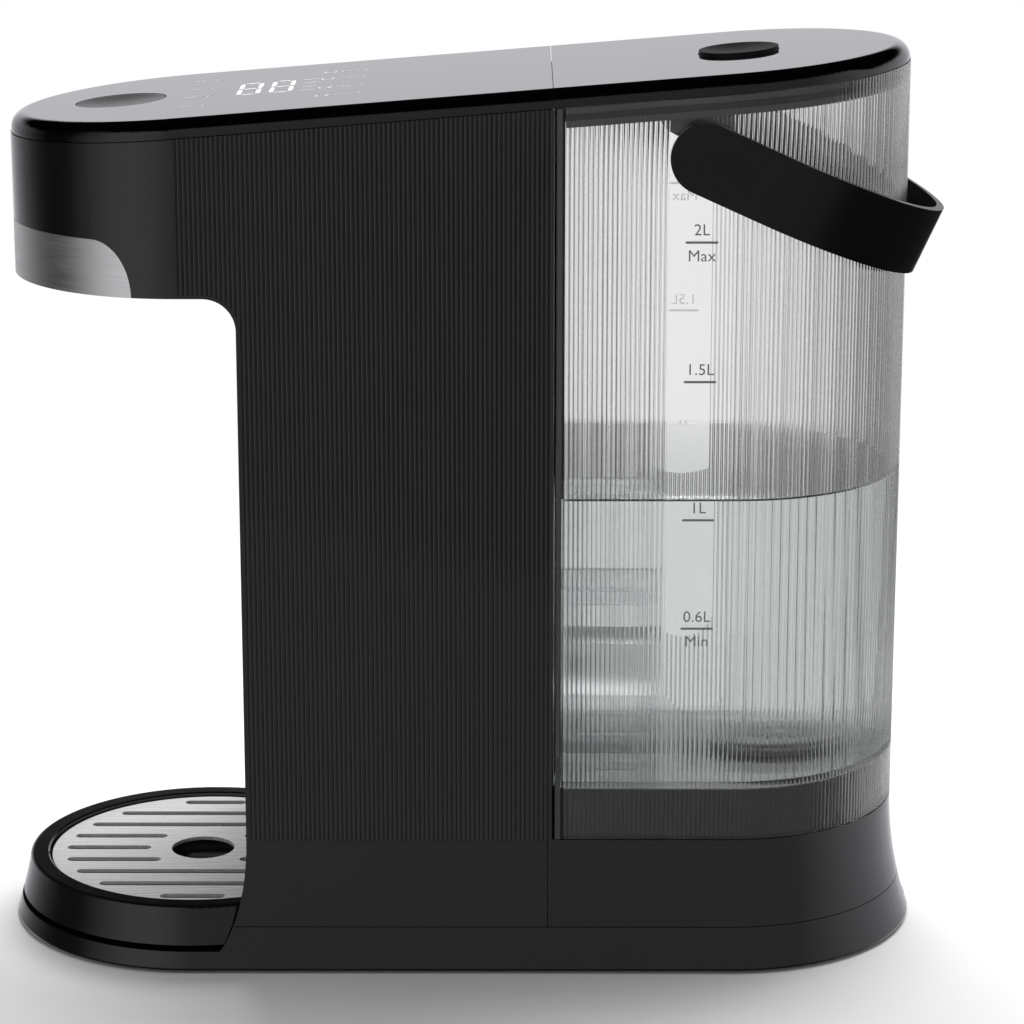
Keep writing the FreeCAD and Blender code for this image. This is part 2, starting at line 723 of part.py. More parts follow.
keep("nozzle_bezel", turned("bezel", (size.spout_x, 0), [
    (7.2, 222.6), (15, 222.6), (16, 223.6), (16, 225.5), (10.9, 225.5), (10.9, 232), (7.2, 232)]))
keep("spout_nozzle", turned("nozzle", (size.spout_x, 0), [
    (2.2, 217.5), (5.4, 217.5), (6.8, 222), (6.8, 238), (2.9, 238), (2.9, 246), (2.2, 246)]))

# Back of the column
PANEL_FRONT_X = 25.3
BOARD_GAP = 4
PUMP_Y = -24
INLET_Z = 24
HOSE_HOLE_RADIUS = 6


def make_back_panel():
    """A plate let in between the column's side walls, with the power board's stand-offs and a hose hole."""
    body = new_body("panel")
    half = CAVITY_HALF_WIDTH - FREE_GAP
    low = size.foot_seam_z + FREE_GAP
    face = [(-half, low), (half, low), (half, SKY), (-half, SKY)]
    pad(body, loops(body, "YZ_Plane", face, at=(0, 0, PANEL_FRONT_X)), size.column_rear_x - PANEL_FRONT_X)
    cut_above(body, size.seam_z - 0.3)
    stand_offs = [(y, z, 3) for y in (-46, -8) for z in (116, 204)]
    pad(body, circles(body, "YZ_Plane", *stand_offs, at=(0, 0, PANEL_FRONT_X)), BOARD_GAP, backwards=True)
    hose_hole = circles(body, "YZ_Plane", (PUMP_Y, INLET_Z, HOSE_HOLE_RADIUS), at=(0, 0, PANEL_FRONT_X - 1))
    cut_up(body, hose_hole, 5)
    keep("back_panel", body)


make_back_panel()


# Dock under the tank
HOSE_RADIUS = 4.2
HOSE_BORE = 3.0


def make_dock_housing():
    body = new_body("dock")
    front = size.skirt_seam_x + size.seam_gap
    seam = size.foot_seam_z + size.seam_gap
    top = size.flare_top_z
    length = size.rear_centre_x - front
    pad(body, loops(body, "YZ_Plane", flared_section(seam, top), at=(0, 0, front)), length)
    arc_centre = (size.body_radius + size.flare_radius, top)
    rear_section = [(0, seam), (flare(seam), seam, arc_centre, "right"), (flare(top), top), (0, top)]
    turn(body, "Revolution", loops(body, "XZ_Plane", rear_section, at=(size.rear_centre_x, 0, 0)))

    # Open below, and open towards the column up to its back panel
    inner = as_size(CAVITY_HALF_WIDTH)
    before = front - CAVITY_HALF_WIDTH
    low = seam - 1
    cut_up(body, loops(body, "XY_Plane", plan(before, inner), at=(0, 0, low)), top - size.shell_wall - low)
    panel_x = size.column_rear_x + FREE_GAP
    slot = [(before, -inner), (panel_x, -inner), (panel_x, inner), (before, inner)]
    cut_up(body, loops(body, "XY_Plane", slot, at=(0, 0, low)), top)
    add_posts(body, both_sides(SCREW_PLACES[2:]))
    cut_up(body, circles(body, "XY_Plane", (size.valve_x, 0, HOSE_HOLE_RADIUS + 1), at=(0, 0, seam)), top)
    keep("dock_housing", body)


make_dock_housing()

CUP_FLOOR_Z = 46.9
CUP_RADIUS = 16.5
BLOCK_HEIGHT = 16.7
BARB_RADIUS = 4.15
BARB_LOW_Z = 30


def make_pedestal():
    """The block that the tank's skirt drops over, with the cup that takes the tank's valve."""
    body = new_body("pedestal")
    reach = size.tank_wall + 0.5
    outline = rounded_plan(size.tank_front_x + reach, size.body_radius - reach, 2)
    pad(body, loops(body, "XY_Plane", outline, at=(0, 0, size.flare_top_z)), BLOCK_HEIGHT)
    cup = circles(body, "XY_Plane", (size.valve_x, 0, CUP_RADIUS), at=(0, 0, CUP_FLOOR_Z))
    cut_up(body, cup, BLOCK_HEIGHT)
    barb = circles(body, "XY_Plane", (size.valve_x, 0, BARB_RADIUS), at=(0, 0, BARB_LOW_Z))
    pad(body, barb, size.flare_top_z - BARB_LOW_Z)
    bore = circles(body, "XY_Plane", (size.valve_x, 0, HOSE_BORE), at=(0, 0, BARB_LOW_Z - 1))
    cut_up(body, bore, size.flare_top_z)
    keep("dock_pedestal", body)


make_pedestal()
keep("dock_seal", ring("cup_seal", (size.valve_x, 0), 9.5, 13.5, CUP_FLOOR_Z, 51.7))


def make_dock_pin():
    """The pin that opens the tank's valve, on a flange with four drain holes."""
    body = turned("pin", (size.valve_x, 0), [(0, CUP_FLOOR_Z), (8, CUP_FLOOR_Z), (8, 48.3), (2.4, 48.3),
                                             (1.8, 52), (1.8, 53.1), (1.3, 53.6), (0, 53.6)])
    holes = [(size.valve_x + 3.9 * math.cos(turn_angle), 3.9 * math.sin(turn_angle), 1.3)
             for turn_angle in (math.pi / 4 + step * math.pi / 2 for step in range(4))]
    cut_up(body, circles(body, "XY_Plane", *holes, at=(0, 0, CUP_FLOOR_Z - 1)), 5)
    keep("dock_pin", body)


make_dock_pin()

# Sloping cover with the touch panel
BOARD_TOP_Z = 282.2
BUTTON_GAP = 0.3
FLANGE_LOW_Z = 284.6
FLANGE_TOP_Z = 286.6


def round_top_edge(body, height, seam_x):
    """Round the edge of a sloping top, but not where it meets the next piece at a seam."""
    near = 0.01
    document.recompute()
    solid = body.Tip
    names = []
    for index, edge in enumerate(solid.Shape.Edges, start=1):
        ends = [vertex.Point for vertex in edge.Vertexes]
        on_top = all(abs(point.z - height.value - size.slope.value * point.x) < near for point in ends)
        at_seam = all(abs(point.x - seam_x.value) < near for point in ends)
        if on_top and not at_seam:
            names.append(f"Edge{index}")
    rounding = body.newObject("PartDesign::Fillet", body.Name + "_rounding")
    rounding.Base = (solid, names)
    bind(rounding, "Radius", size.cover_rounding)
    body.Tip = rounding


def make_control_cover():
    body = new_body("cover")
    rear = size.lid_seam_x
    low = size.seam_z - HEADROOM
    pad(body, loops(body, "XY_Plane", front_plan(rear, size.cover_radius), at=(0, 0, low)), REACH)
    cut_above(body, size.deck_z)
    cut_below(body, size.seam_z + size.seam_gap)
    round_top_edge(body, size.deck_z, rear)
    under = new_body("cover_inside")
    wall = size.shell_wall
    inside = front_plan(rear - 2, size.cover_radius - wall)
    pad(under, loops(under, "XY_Plane", inside, at=(0, 0, low)), REACH)
    cut_above(under, size.deck_z - wall)
    shell = cut("cover_shell", body, under)
    hole = cylinder("dispense_hole", (size.dispense_x, 0, low), size.dispense_radius + BUTTON_GAP, REACH)
    keep("control_cover", cut("cover_final", shell, hole))


make_control_cover()


def sloping_disc(name, x, radius, low, high):
    """An upright disc whose two faces follow the slope of the cover."""
    body = new_body(name)
    pad(body, circles(body, "XY_Plane", (x, 0, radius), at=(0, 0, size.seam_z - HEADROOM)), REACH)
    cut_above(body, high)
    cut_below(body, low)
    return body


def dished(name, piece, x, top, radius, depth):
    """Hollow the top of a button by a shallow part of a sphere."""
    ball_radius = (radius * radius + depth * depth) / (2 * depth)
    normal = FreeCAD.Vector(-size.slope.value, 0, 1).normalize()
    middle = FreeCAD.Vector(x.value, 0, top.value + size.slope.value * x.value)
    ball = document.addObject("Part::Sphere", name + "_dish")
    ball.Radius = ball_radius
    ball.Placement.Base = middle + normal * (ball_radius - depth)
    return cut(name, piece, ball)


dispense_top = size.deck_z - 0.1
dispense_face = sloping_disc("dispense_face", size.dispense_x, size.dispense_radius,
                             as_size(FLANGE_LOW_Z), dispense_top)
dispense_flange = sloping_disc("dispense_flange", size.dispense_x, size.dispense_radius + 1.7,
                               as_size(FLANGE_LOW_Z), as_size(FLANGE_TOP_Z))
dispense_blank = fuse("dispense_blank", dispense_face, dispense_flange)
keep("dispense_button", dished("dispense", dispense_blank, size.dispense_x, dispense_top, 13.4, 1.0))

keep("control_board", sloping_box("board", (-122, -26, BOARD_TOP_Z - 1.6), (-20, 26, BOARD_TOP_Z)))
keep("display_module", sloping_box("display", (-82, -14, BOARD_TOP_Z + 0.1), (-50, 18, 286.7)))
keep("button_switch", sloping_box("switch", (size.dispense_x - 4, -4, BOARD_TOP_Z + 0.1),
                                  (size.dispense_x + 4, 4, BOARD_TOP_Z + 1.1)))

# Water path inside the column
HEATER = (2, 24)
HEATER_RADIUS = 16
HEATER_LOW_Z = 70
HEATER_HIGH_Z = 200
PUMP = (0, PUMP_Y)
METER = (0, -42.5)

keep("heater_tube", ring("heater", HEATER, HEATER_RADIUS - 4, HEATER_RADIUS, HEATER_LOW_Z, HEATER_HIGH_Z))


def heater_cap(name, low, stub_low):
    """An end cap with a hose stub and an open bore."""
    thickness = 8
    stub_length = 9
    cap = cylinder(name + "_cap", (*HEATER, low), HEATER_RADIUS + 2.5, thickness)
    stub = cylinder(name + "_stub", (*HEATER, stub_low), HOSE_BORE - 0.05, stub_length)
    bore = cylinder(name + "_bore", (*HEATER, min(low, stub_low) - 1), 2, thickness + stub_length + 2)
    return cut(name, fuse(name + "_body", cap, stub), bore)


keep("heater_caps", group("caps", [heater_cap("lower", HEATER_LOW_Z - 8, HEATER_LOW_Z - 16),
                                   heater_cap("upper", HEATER_HIGH_Z, HEATER_HIGH_Z + 7)]))


def heater_clamp(name, low):
    """A block on the back panel with half a bore round the heater."""
    height = 8
    x, y = HEATER
    block = box(name + "_block", (x, y - 12, low), (PANEL_FRONT_X, y + 12, low + height))
    return cut(name, block, cylinder(name + "_bore", (x, y, low - 1), HEATER_RADIUS, height + 2))


keep("heater_brackets", group("clamps", [heater_clamp("lower_clamp", 84), heater_clamp("upper_clamp", 178)]))
cutouts = [cylinder("cutout", (HEATER[0], 3.6, z), 5.5, 4.4, "Y") for z in (125, 155)]
keep("thermal_cutouts", group("cutouts", cutouts))
keep("temperature_sensor", cylinder("probe", (-25, 24, 204), 2.5, 8.5, "X"))


def make_pump():
    """A round pump chamber with its motor on top, an inlet towards the tank and an outlet upwards."""
    body = turned("pump", PUMP, [(0, 10), (23, 10), (23, 32), (13, 32), (13, 62), (0, 62)])
    pad(body, circles(body, "YZ_Plane", (PUMP_Y, INLET_Z, 3.5), at=(0, 0, 15)), 18)
    pad(body, circles(body, "XY_Plane", (*METER, 3.5), at=(0, 0, 25)), 15)
    keep("water_pump", body)


make_pump()
keep("pump_cushion", ring("cushion", PUMP, 8, 20, FLOOR_TOP_Z, 10))
keep("flow_meter", turned("meter", METER, [(0, 57), (3.5, 57), (3.5, 63), (8, 63), (8, 87), (3.5, 87),
                                           (3.5, 93), (0, 93)]))
PUMP_HOSE = [(0, -42.5, 93), (0, -42.5, 109), (0, -1.5, 109), (0, -1.5, 40), (2, 24, 40), (2, 24, 54)]
pump_link = ring("pump_link", METER, HOSE_BORE, HOSE_RADIUS, 40, 57)
outer_pump_hose = hose("meter_link", HOSE_RADIUS, HOSE_BORE, PUMP_HOSE)
keep("pump_hose", group("pump_hoses", [pump_link, outer_pump_hose]))
keep("inlet_hose", hose("inlet_line", HOSE_RADIUS + 1.2, HOSE_BORE + 1.2, [
    (101.5, 0, 36), (101.5, 0, INLET_Z), (68, 0, INLET_Z), (52, PUMP_Y, INLET_Z), (30, PUMP_Y, INLET_Z)]))
keep("outlet_hose", hose("outlet_line", HOSE_RADIUS, HOSE_BORE, [
    (2, 24, 212), (2, 24, 252), (-45, 0, 258), (-92.5, 0, 258), (-92.5, 0, 240)]))

# Electrical parts
BOARD_REAR_X = PANEL_FRONT_X - BOARD_GAP
keep("power_board", box("mains_board", (BOARD_REAR_X - 1.6, -51, 110), (BOARD_REAR_X, -3, 210)))


def make_power_parts():
    front = BOARD_REAR_X - 1.6
    transformer = box("transformer", (front - 16, -46, 180), (front, -26, 202))
    relay = box("relay", (front - 15, -20, 176), (front, -8, 200))
    sink = box("heat_sink", (front - 12, -48, 116), (front, -42, 150))
    capacitors = [cylinder("capacitor", (front - 18, y, 160), 5, 18, "X") for y in (-40, -26, -12)]
    keep("power_parts", group("board_parts", [transformer, relay, sink, *capacitors]))


make_power_parts()


def make_terminal_block():
    block = box("terminals", (118, -12, FLOOR_TOP_Z), (132, 12, 16))
    wells = [cylinder("terminal_well", (125, y, 8), 2.4, 10) for y in (-7.5, 0, 7.5)]
    keep("terminal_block", cut("terminals_cut", block, group("terminal_wells", wells)))


make_terminal_block()
keep("level_sensor", box("sensor", (PANEL_FRONT_X - 5, -8, 84), (PANEL_FRONT_X, 8, 108)))

# Water tank
TANK_CORNER = 1.0
VALVE_RADIUS = 14
PIN_REACH = 60.9
PIN_LENGTH = 6.3
COLLAR_REACH = 58.7
COLLAR_RADIUS = 7
COLLAR_THICKNESS = 1.2
PIN_CLEARANCE = 0.06
PIN_END_GAP = 0.1


def tank_plan(inset):
    return rounded_plan(size.tank_front_x + inset, size.body_radius - inset, TANK_CORNER)


def make_tank_flutes():
    """Cutters for the flutes of the straight sides and the round rear. The two gauge windows stay plain."""
    side_count = 37
    ring_count = 121
    low = size.tank_bottom_z - 1
    body = new_body("tank_flutes")
    first_x = size.rear_centre_x - size.flute_pitch
    sketch = loops(body, "XY_Plane", flute_outline(-1, first_x), flute_outline(1, first_x), at=(0, 0, low))
    repeat_along(body, pad(body, sketch, REACH * 2), size.flute_pitch * (side_count - 1), side_count,
                 backwards=True)
    front = size.window_low_x
    rear = size.window_high_x
    middle = (front + rear) / 2
    half = (rear - front) / 2
    rise = size.window_round_z - size.window_low_z
    radius = (half * half + rise * rise) / (rise * 2)
    centre = (middle, size.window_low_z + radius)
    top = as_size(SKY)
    window = [(front, size.window_round_z, centre, "left"), (middle, size.window_low_z, centre, "left"),
              (rear, size.window_round_z), (rear, top), (front, top)]
    cut_through(body, loops(body, "XZ_Plane", window), REACH)
    rear_flute = loops(body, "XY_Plane", flute_outline(-1, size.rear_centre_x), at=(0, 0, low))
    repeat_round(body, pad(body, rear_flute, REACH * 2), size.rear_centre_x, 180, ring_count)
    return body


def make_tank():
    """The clear tank: a flat front, a round rear, a floor set up inside a skirt, and a sloping rim."""
    body = new_body("tank")
    inside = size.tank_wall
    low = size.tank_bottom_z
    height = size.seam_z + HEADROOM - low
    pad(body, loops(body, "XY_Plane", tank_plan(as_size(0)), at=(0, 0, low)), height)
    cut_above(body, size.seam_z)
    cut_up(body, loops(body, "XY_Plane", tank_plan(inside), at=(0, 0, size.tank_floor_top_z)), height)
    under = low - 1
    cut_up(body, loops(body, "XY_Plane", tank_plan(inside), at=(0, 0, under)), size.tank_floor_z - under)
    valve_hole = circles(body, "XY_Plane", (size.valve_x, 0, VALVE_RADIUS), at=(0, 0, size.tank_floor_z - 1))
    cut_up(body, valve_hole, 5)
    cut_through(body, circles(body, "XZ_Plane", (size.pivot_x, size.pivot_z, size.pin_radius)), REACH)
    keep("tank_shell", cut("tank_fluted", body, make_tank_flutes()))


make_tank()


def handle_pin(side):
    """A pin through the tank's side wall, with a collar outside. Both cylinders run towards +Y."""
    x = size.pivot_x
    z = size.pivot_z
    shaft_y = PIN_REACH - PIN_LENGTH if side > 0 else -PIN_REACH
    collar_y = COLLAR_REACH - COLLAR_THICKNESS if side > 0 else -COLLAR_REACH
    shaft = cylinder("pin_shaft", (x, shaft_y, z), size.pin_radius, PIN_LENGTH, "Y")
    collar = cylinder("pin_collar", (x, collar_y, z), COLLAR_RADIUS, COLLAR_THICKNESS, "Y")
    return fuse("handle_pin", shaft, collar)


keep("handle_pins", group("pins", [handle_pin(side) for side in (-1, 1)]))

keep("valve_housing", turned("housing", (size.valve_x, 0), [
    (5.5, 52), (13, 52), (14, 53), (14, 64.2), (20.5, 64.2), (20.5, 65.6), (19.9, 66.2), (10.5, 66.2),
    (10.5, 54), (5.5, 54)]))
keep("valve_poppet", turned("poppet", (size.valve_x, 0), [
    (0, 53.9), (4.8, 53.9), (4.8, 55.2), (8.5, 55.2), (8.5, 57.2), (2, 57.2), (2, 67.6), (1.2, 68.4),
    (0, 68.4)]))
keep("poppet_seal", ring("valve_seal", (size.valve_x, 0), 4.8, 8.3, 54.2, 55.2))
keep("valve_spring", ring("spring_tube", (size.valve_x, 0), 4, 5, 57.4, 64.6))


def make_strainer():
    """A low disc over the valve with a ring of slots and a guide for the valve's stem."""
    body = turned("strainer", (size.valve_x, 0), [
        (2.1, 64.8), (10.3, 64.8), (10.3, 66.3), (18, 66.3), (18, 67), (17.4, 67.6), (5, 67.6), (4, 68.2),
        (2.1, 68.2)])
    inner_x = size.valve_x + 5.6
    outer_x = size.valve_x + 9.4
    half = 0.7
    slot = loops(body, "XY_Plane", [(inner_x, -half), (outer_x, -half), (outer_x, half), (inner_x, half)],
                 at=(0, 0, size.tank_floor_top_z))
    repeat_round(body, cut_up(body, slot, 5), size.valve_x, 360, 16)
    keep("inlet_strainer", body)


make_strainer()

# Low-water float in its cage
CAGE_LOW = (32, -16, 64.2)
CAGE_HIGH = (63.5, 16, 122)
CAGE_WALL = 1.6
WINDOW_LOW_Z = 70
WINDOW_HIGH_Z = 116
MAGNET_LOW = (34.8, -5, 90)
MAGNET_HIGH = (37.8, 5, 96)


def make_cage():
    """A box open below, with a window in each side wall and one towards the rear."""
    outer = box("cage_outer", CAGE_LOW, CAGE_HIGH)
    inner = box("cage_inner", (CAGE_LOW[0] + CAGE_WALL, CAGE_LOW[1] + CAGE_WALL, CAGE_LOW[2] - 1),
                [amount - CAGE_WALL for amount in CAGE_HIGH])
    windows = box("cage_windows", (38, -20, WINDOW_LOW_Z), (57.5, 20, WINDOW_HIGH_Z))
    rear_window = box("cage_rear_window", (55, -10, WINDOW_LOW_Z), (70, 10, WINDOW_HIGH_Z))
    shell = cut("cage_shell", outer, inner)
    keep("float_cage", cut("cage", cut("cage_open", shell, windows), rear_window))


make_cage()
float_block = box("float_block", (34.2, -13.5, 84), (61, 13.5, 102))
magnet_pocket = box("magnet_pocket", MAGNET_LOW, MAGNET_HIGH)
keep("level_float", cut("float_hollowed", float_block, magnet_pocket))
keep("float_magnet", box("magnet", MAGNET_LOW, MAGNET_HIGH))


# Carrying handle, drawn level from its axis and then let down to its resting angle
def make_handle():
    body = new_body("handle")
    outer = size.strap_radius
    inner = outer - size.strap_thickness
    bend = size.strap_bend_x
    end_radius = size.strap_width / 2
    back = -end_radius - 1
    strap = [(back, -outer), (bend, -outer, (bend, 0), "left"), (bend, outer), (back, outer), (back, inner),
             (bend, inner, (bend, 0), "right"), (bend, -inner), (back, -inner)]
    pad(body, loops(body, "XY_Plane", strap), size.strap_width, both_ways=True)
    edge = end_radius + 1
    corner = [(back - 1, -edge), (0, -edge), (0, -end_radius, (0, 0), "right"), (0, end_radius), (0, edge),
              (back - 1, edge)]
    cut_through(body, loops(body, "XZ_Plane", corner), REACH)
    bore = circles(body, "XZ_Plane", (0, 0, size.pin_radius + PIN_CLEARANCE))
    cut_through(body, bore, (PIN_REACH + PIN_END_GAP) * 2)
    body.Placement.Rotation = FreeCAD.Rotation(FreeCAD.Vector(0, 1, 0), size.handle_fall.value)
    bind(body, "Placement.Base.x", size.pivot_x)
    bind(body, "Placement.Base.z", size.pivot_z)
    keep("handle_strap", body)


make_handle()

# Lid
LID_LOW_Z = 200
PLUG_CLEARANCE = 1.0


def make_lid_cover():
    body = new_body("lid")
    front = size.lid_seam_x + 0.2
    pad(body, loops(body, "XY_Plane", plan(front, size.cover_radius), at=(0, 0, LID_LOW_Z)), REACH)
    cut_above(body, size.deck_z)
    cut_below(body, size.seam_z + size.seam_gap)
    round_top_edge(body, size.deck_z, front)
    hole_radius = size.lid_button_radius + BUTTON_GAP
    hole = cylinder("lid_hole", (size.lid_button_x, 0, LID_LOW_Z), hole_radius, REACH)
    keep("lid_cover", cut("lid_final", body, hole))


make_lid_cover()


def plug_ring(name, clearance, low, high):
    """A slab with the tank's inner outline, this much smaller, between two sloping planes."""
    body = new_body(name)
    inset = size.tank_wall + clearance
    outline = rounded_plan(size.tank_front_x + inset, size.body_radius - inset, TANK_CORNER)
    pad(body, loops(body, "XY_Plane", outline, at=(0, 0, LID_LOW_Z)), REACH)
    cut_above(body, high)
    cut_below(body, low)
    return body


def make_lid_plug():
    plug = plug_ring("plug", PLUG_CLEARANCE, as_size(276.8), size.seam_z + size.seam_gap)
    hollow = plug_ring("plug_hollow", PLUG_CLEARANCE + 2.2, as_size(230), as_size(280.6))
    keep("lid_plug", cut("plug_hollowed", plug, hollow))


make_lid_plug()
seal_outer = plug_ring("seal_outer", 0.3, as_size(279), as_size(281))
seal_inner = plug_ring("seal_inner", PLUG_CLEARANCE, as_size(270), as_size(290))
keep("lid_seal", cut("plug_seal", seal_outer, seal_inner))

spring_blank = sloping_disc("button_spring_blank", size.lid_button_x, 9, as_size(283.9), as_size(287))
spring_bore = cylinder("button_spring_bore", (size.lid_button_x, 0, LID_LOW_Z), 7.6, REACH)
keep("button_spring", cut("button_spring_ring", spring_blank, spring_bore))
button_top = size.deck_z + 1.2
button_face = sloping_disc("lid_button_face", size.lid_button_x, size.lid_button_radius, as_size(287.2),
                           button_top)
keep("lid_button", dished("lid_press", button_face, size.lid_button_x, button_top, 12, 0.9))

# Drip tray and grille
LEDGE_Z = 19.0


def make_tray():
    """A bowl with a ledge for the grille, and an outer wall that carries on the foot's flare."""
    arc_x = size.body_radius + size.flare_radius
    arc_z = size.flare_top_z
    skirt_low = 9.2
    shoulder = size.tray_top_z - 1.2
    inner_x = arc_x - 1
    knee = flare(as_size(shoulder))
    top = size.tray_top_z
    keep("drip_tray", turned("tray", (size.front_centre_x, 0), [
        (0, 7.5), (52.9, 7.5), (52.9, 17.4), (55, 17.4), (55, 19.6), (57.4, 19.6), (59.6, skirt_low),
        (flare(as_size(skirt_low)), skirt_low, (arc_x, arc_z), "right"),
        (knee, shoulder, (knee - 1.2, shoulder), "left"), (knee - 1.2, top),
        (size.tray_rim_radius + 0.5, top), (size.tray_rim_radius, top - 0.5),
        (size.tray_rim_radius, LEDGE_Z), (50.9, LEDGE_Z), (50.9, 11.8), (48.9, 9.8), (0, 9.8)]))


make_tray()


def slot_loop(start_x, end_x, y):
    """A long slot with round ends."""
    half = size.slot_width / 2
    return [(start_x, y - half), (end_x, y - half, (end_x, y), "left"), (end_x, y + half),
            (start_x, y + half, (start_x, y), "left")]


def make_grille():
    body = new_body("grille")
    thickness = 1.2
    pad(body, circles(body, "XY_Plane", (size.front_centre_x, 0, size.grille_radius),
                      at=(0, 0, size.grille_top_z - thickness)), thickness)
    outlines = []
    half = size.slot_width / 2
    rows_each_side = 4
    middle_gap = 18.0
    next_gap = 13.5
    for row in range(-rows_each_side, rows_each_side + 1):
        y = size.slot_pitch * row
        reach = root(size.slot_circle * size.slot_circle - y * y) - half
        left = size.front_centre_x - reach
        right = size.front_centre_x + reach
        if abs(row) < 2:
            gap = (middle_gap if row == 0 else next_gap) + half
            outlines.append(slot_loop(left, size.spout_x - gap, y))
            outlines.append(slot_loop(size.spout_x + gap, right, y))
        else:
            outlines.append(slot_loop(left, right, y))
    sketch = loops(body, "XY_Plane", *outlines, at=(0, 0, size.grille_top_z - thickness - 1))
    draw_circle(sketch, size.spout_x, 0, size.hole_radius)
    cut_up(body, sketch, 5)
    keep("drip_grille", body)


make_grille()


# Check every object, then write each piece
def check_and_write():
    document.recompute()
    faults = [item.Label for item in document.Objects if {"Invalid", "Error"} & set(item.State)]
    for item in nodes:
        if item.Shape.isNull() or not item.Shape.isValid():
            faults.append(item.Label)
    if faults:
        raise RuntimeError("pieces that failed: " + ", ".join(faults))
    for item in nodes:
        item.Shape.exportStep(os.path.join("parts", item.Label + ".step"))
    print(len(nodes), "pieces written")


check_and_write()
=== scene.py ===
import math

import bmesh
import bpy
from mathutils import Matrix, Vector


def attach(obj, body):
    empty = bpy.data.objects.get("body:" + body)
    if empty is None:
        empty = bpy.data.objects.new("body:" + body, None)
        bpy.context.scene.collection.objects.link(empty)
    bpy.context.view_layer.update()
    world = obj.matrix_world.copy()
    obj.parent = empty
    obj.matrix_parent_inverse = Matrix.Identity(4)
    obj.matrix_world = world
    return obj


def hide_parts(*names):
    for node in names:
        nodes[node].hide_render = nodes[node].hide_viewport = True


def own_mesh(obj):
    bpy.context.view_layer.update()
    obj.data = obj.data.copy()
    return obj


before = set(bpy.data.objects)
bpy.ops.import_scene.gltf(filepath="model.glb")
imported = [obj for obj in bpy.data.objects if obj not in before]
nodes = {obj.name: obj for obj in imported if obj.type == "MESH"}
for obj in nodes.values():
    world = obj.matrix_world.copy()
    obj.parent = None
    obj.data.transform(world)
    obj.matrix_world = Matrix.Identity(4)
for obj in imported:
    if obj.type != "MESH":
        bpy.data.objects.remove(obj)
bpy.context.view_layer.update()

# Looks of the instant hot water dispenser. Metres, +Z up, the spout faces -X, the photograph looks along +Y.
MM = 0.001
SLOPE = 0.08                      # rise of the cover and the lid towards the tank
DECK_Z = 289.4 * MM               # top of the cover at x = 0
TANK_CENTRE_X = 87.0 * MM         # axis of the tank's round rear
TANK_RADIUS = 57.5 * MM
TANK_WALL = 2.4 * MM
TANK_FRONT_X = 28.15 * MM
TANK_CORNER = 1.0 * MM
TANK_FLOOR_Z = 64.2 * MM
WATER_Z = 159.0 * MM


# Materials
RANGE_SOCKETS = ("From Min", "From Max", "To Min", "To Max")
PATTERN_LOW, PATTERN_HIGH = 0.3, 0.7      # most of a noise pattern lies between these
SHADOW_LIGHT = 0.9                        # share of a lamp's light that a clear piece lets by


class Shader:
    """The node tree of one material, with short calls for what the materials share."""

    def __init__(self, name):
        self.material = bpy.data.materials.new(name)
        self.material.use_nodes = True
        self.tree = self.material.node_tree
        self.surface = self.tree.nodes["Principled BSDF"]
        self.output = self.tree.nodes["Material Output"]
        self.place = self.node("ShaderNodeTexCoord").outputs["Object"]

    def node(self, kind, **settings):
        made = self.tree.nodes.new(kind)
        for key, value in settings.items():
            setattr(made, key, value)
        return made

    def link(self, source, target):
        self.tree.links.new(source, target)

    def set(self, **values):
        """Uniform values, straight on the shader's own sockets."""
        for key, value in values.items():
            self.surface.inputs[key.replace("_", " ")].default_value = value

    def noise(self, scale, detail=3.0, stretch=(1, 1, 1)):
        """A noise pattern fixed to the piece. The scale is in waves per metre."""
        mapping = self.node("ShaderNodeMapping")
        mapping.inputs["Scale"].default_value = stretch
        self.link(self.place, mapping.inputs["Vector"])
        noise = self.node("ShaderNodeTexNoise")
        noise.inputs["Scale"].default_value = scale
        noise.inputs["Detail"].default_value = detail
        self.link(mapping.outputs["Vector"], noise.inputs["Vector"])
        return noise.outputs["Fac"]

    def spread(self, value, low, high, from_low=PATTERN_LOW, from_high=PATTERN_HIGH):
        """Stretch a pattern to run from low to high."""
        node = self.node("ShaderNodeMapRange")
        self.link(value, node.inputs["Value"])
        for socket, amount in zip(RANGE_SOCKETS, (from_low, from_high, low, high)):
            node.inputs[socket].default_value = amount
        return node.outputs["Result"]

    def colours(self, value, dark, light):
        """A colour that runs between two along a pattern."""
        ramp = self.node("ShaderNodeValToRGB")
        for stop, place, colour in zip(ramp.color_ramp.elements, (PATTERN_LOW, PATTERN_HIGH), (dark, light)):
            stop.position = place
            stop.color = (*colour, 1)
        self.link(value, ramp.inputs["Fac"])
        self.link(ramp.outputs["Color"], self.surface.inputs["Base Color"])

    def rough(self, value, low, high):
        """A roughness that runs between two along a pattern."""
        self.link(self.spread(value, low, high), self.surface.inputs["Roughness"])

    def bump(self, height, distance):
        """Relief of this height, in metres."""
        node = self.node("ShaderNodeBump")
        node.inputs["Strength"].default_value = 1.0
        node.inputs["Distance"].default_value = distance
        self.link(height, node.inputs["Height"])
        self.link(node.outputs["Normal"], self.surface.inputs["Normal"])


def grey(level, warmth=0.0):
    """A grey, or a faintly warm one."""
    return (level * (1 + warmth), level, level * (1 - warmth))


def moulded(name, dark, light, rough, grain=0.00001, gloss=0.5):
    """Moulded plastic: faint mottling, a gloss that varies, and a fine grain."""
    shader = Shader(name)
    shader.colours(shader.noise(35), dark, light)
    shader.rough(shader.noise(60, 4), rough[0], rough[1])
    shader.bump(shader.noise(2600, 2), grain)
    shader.set(Specular_IOR_Level=gloss)
    return shader.material


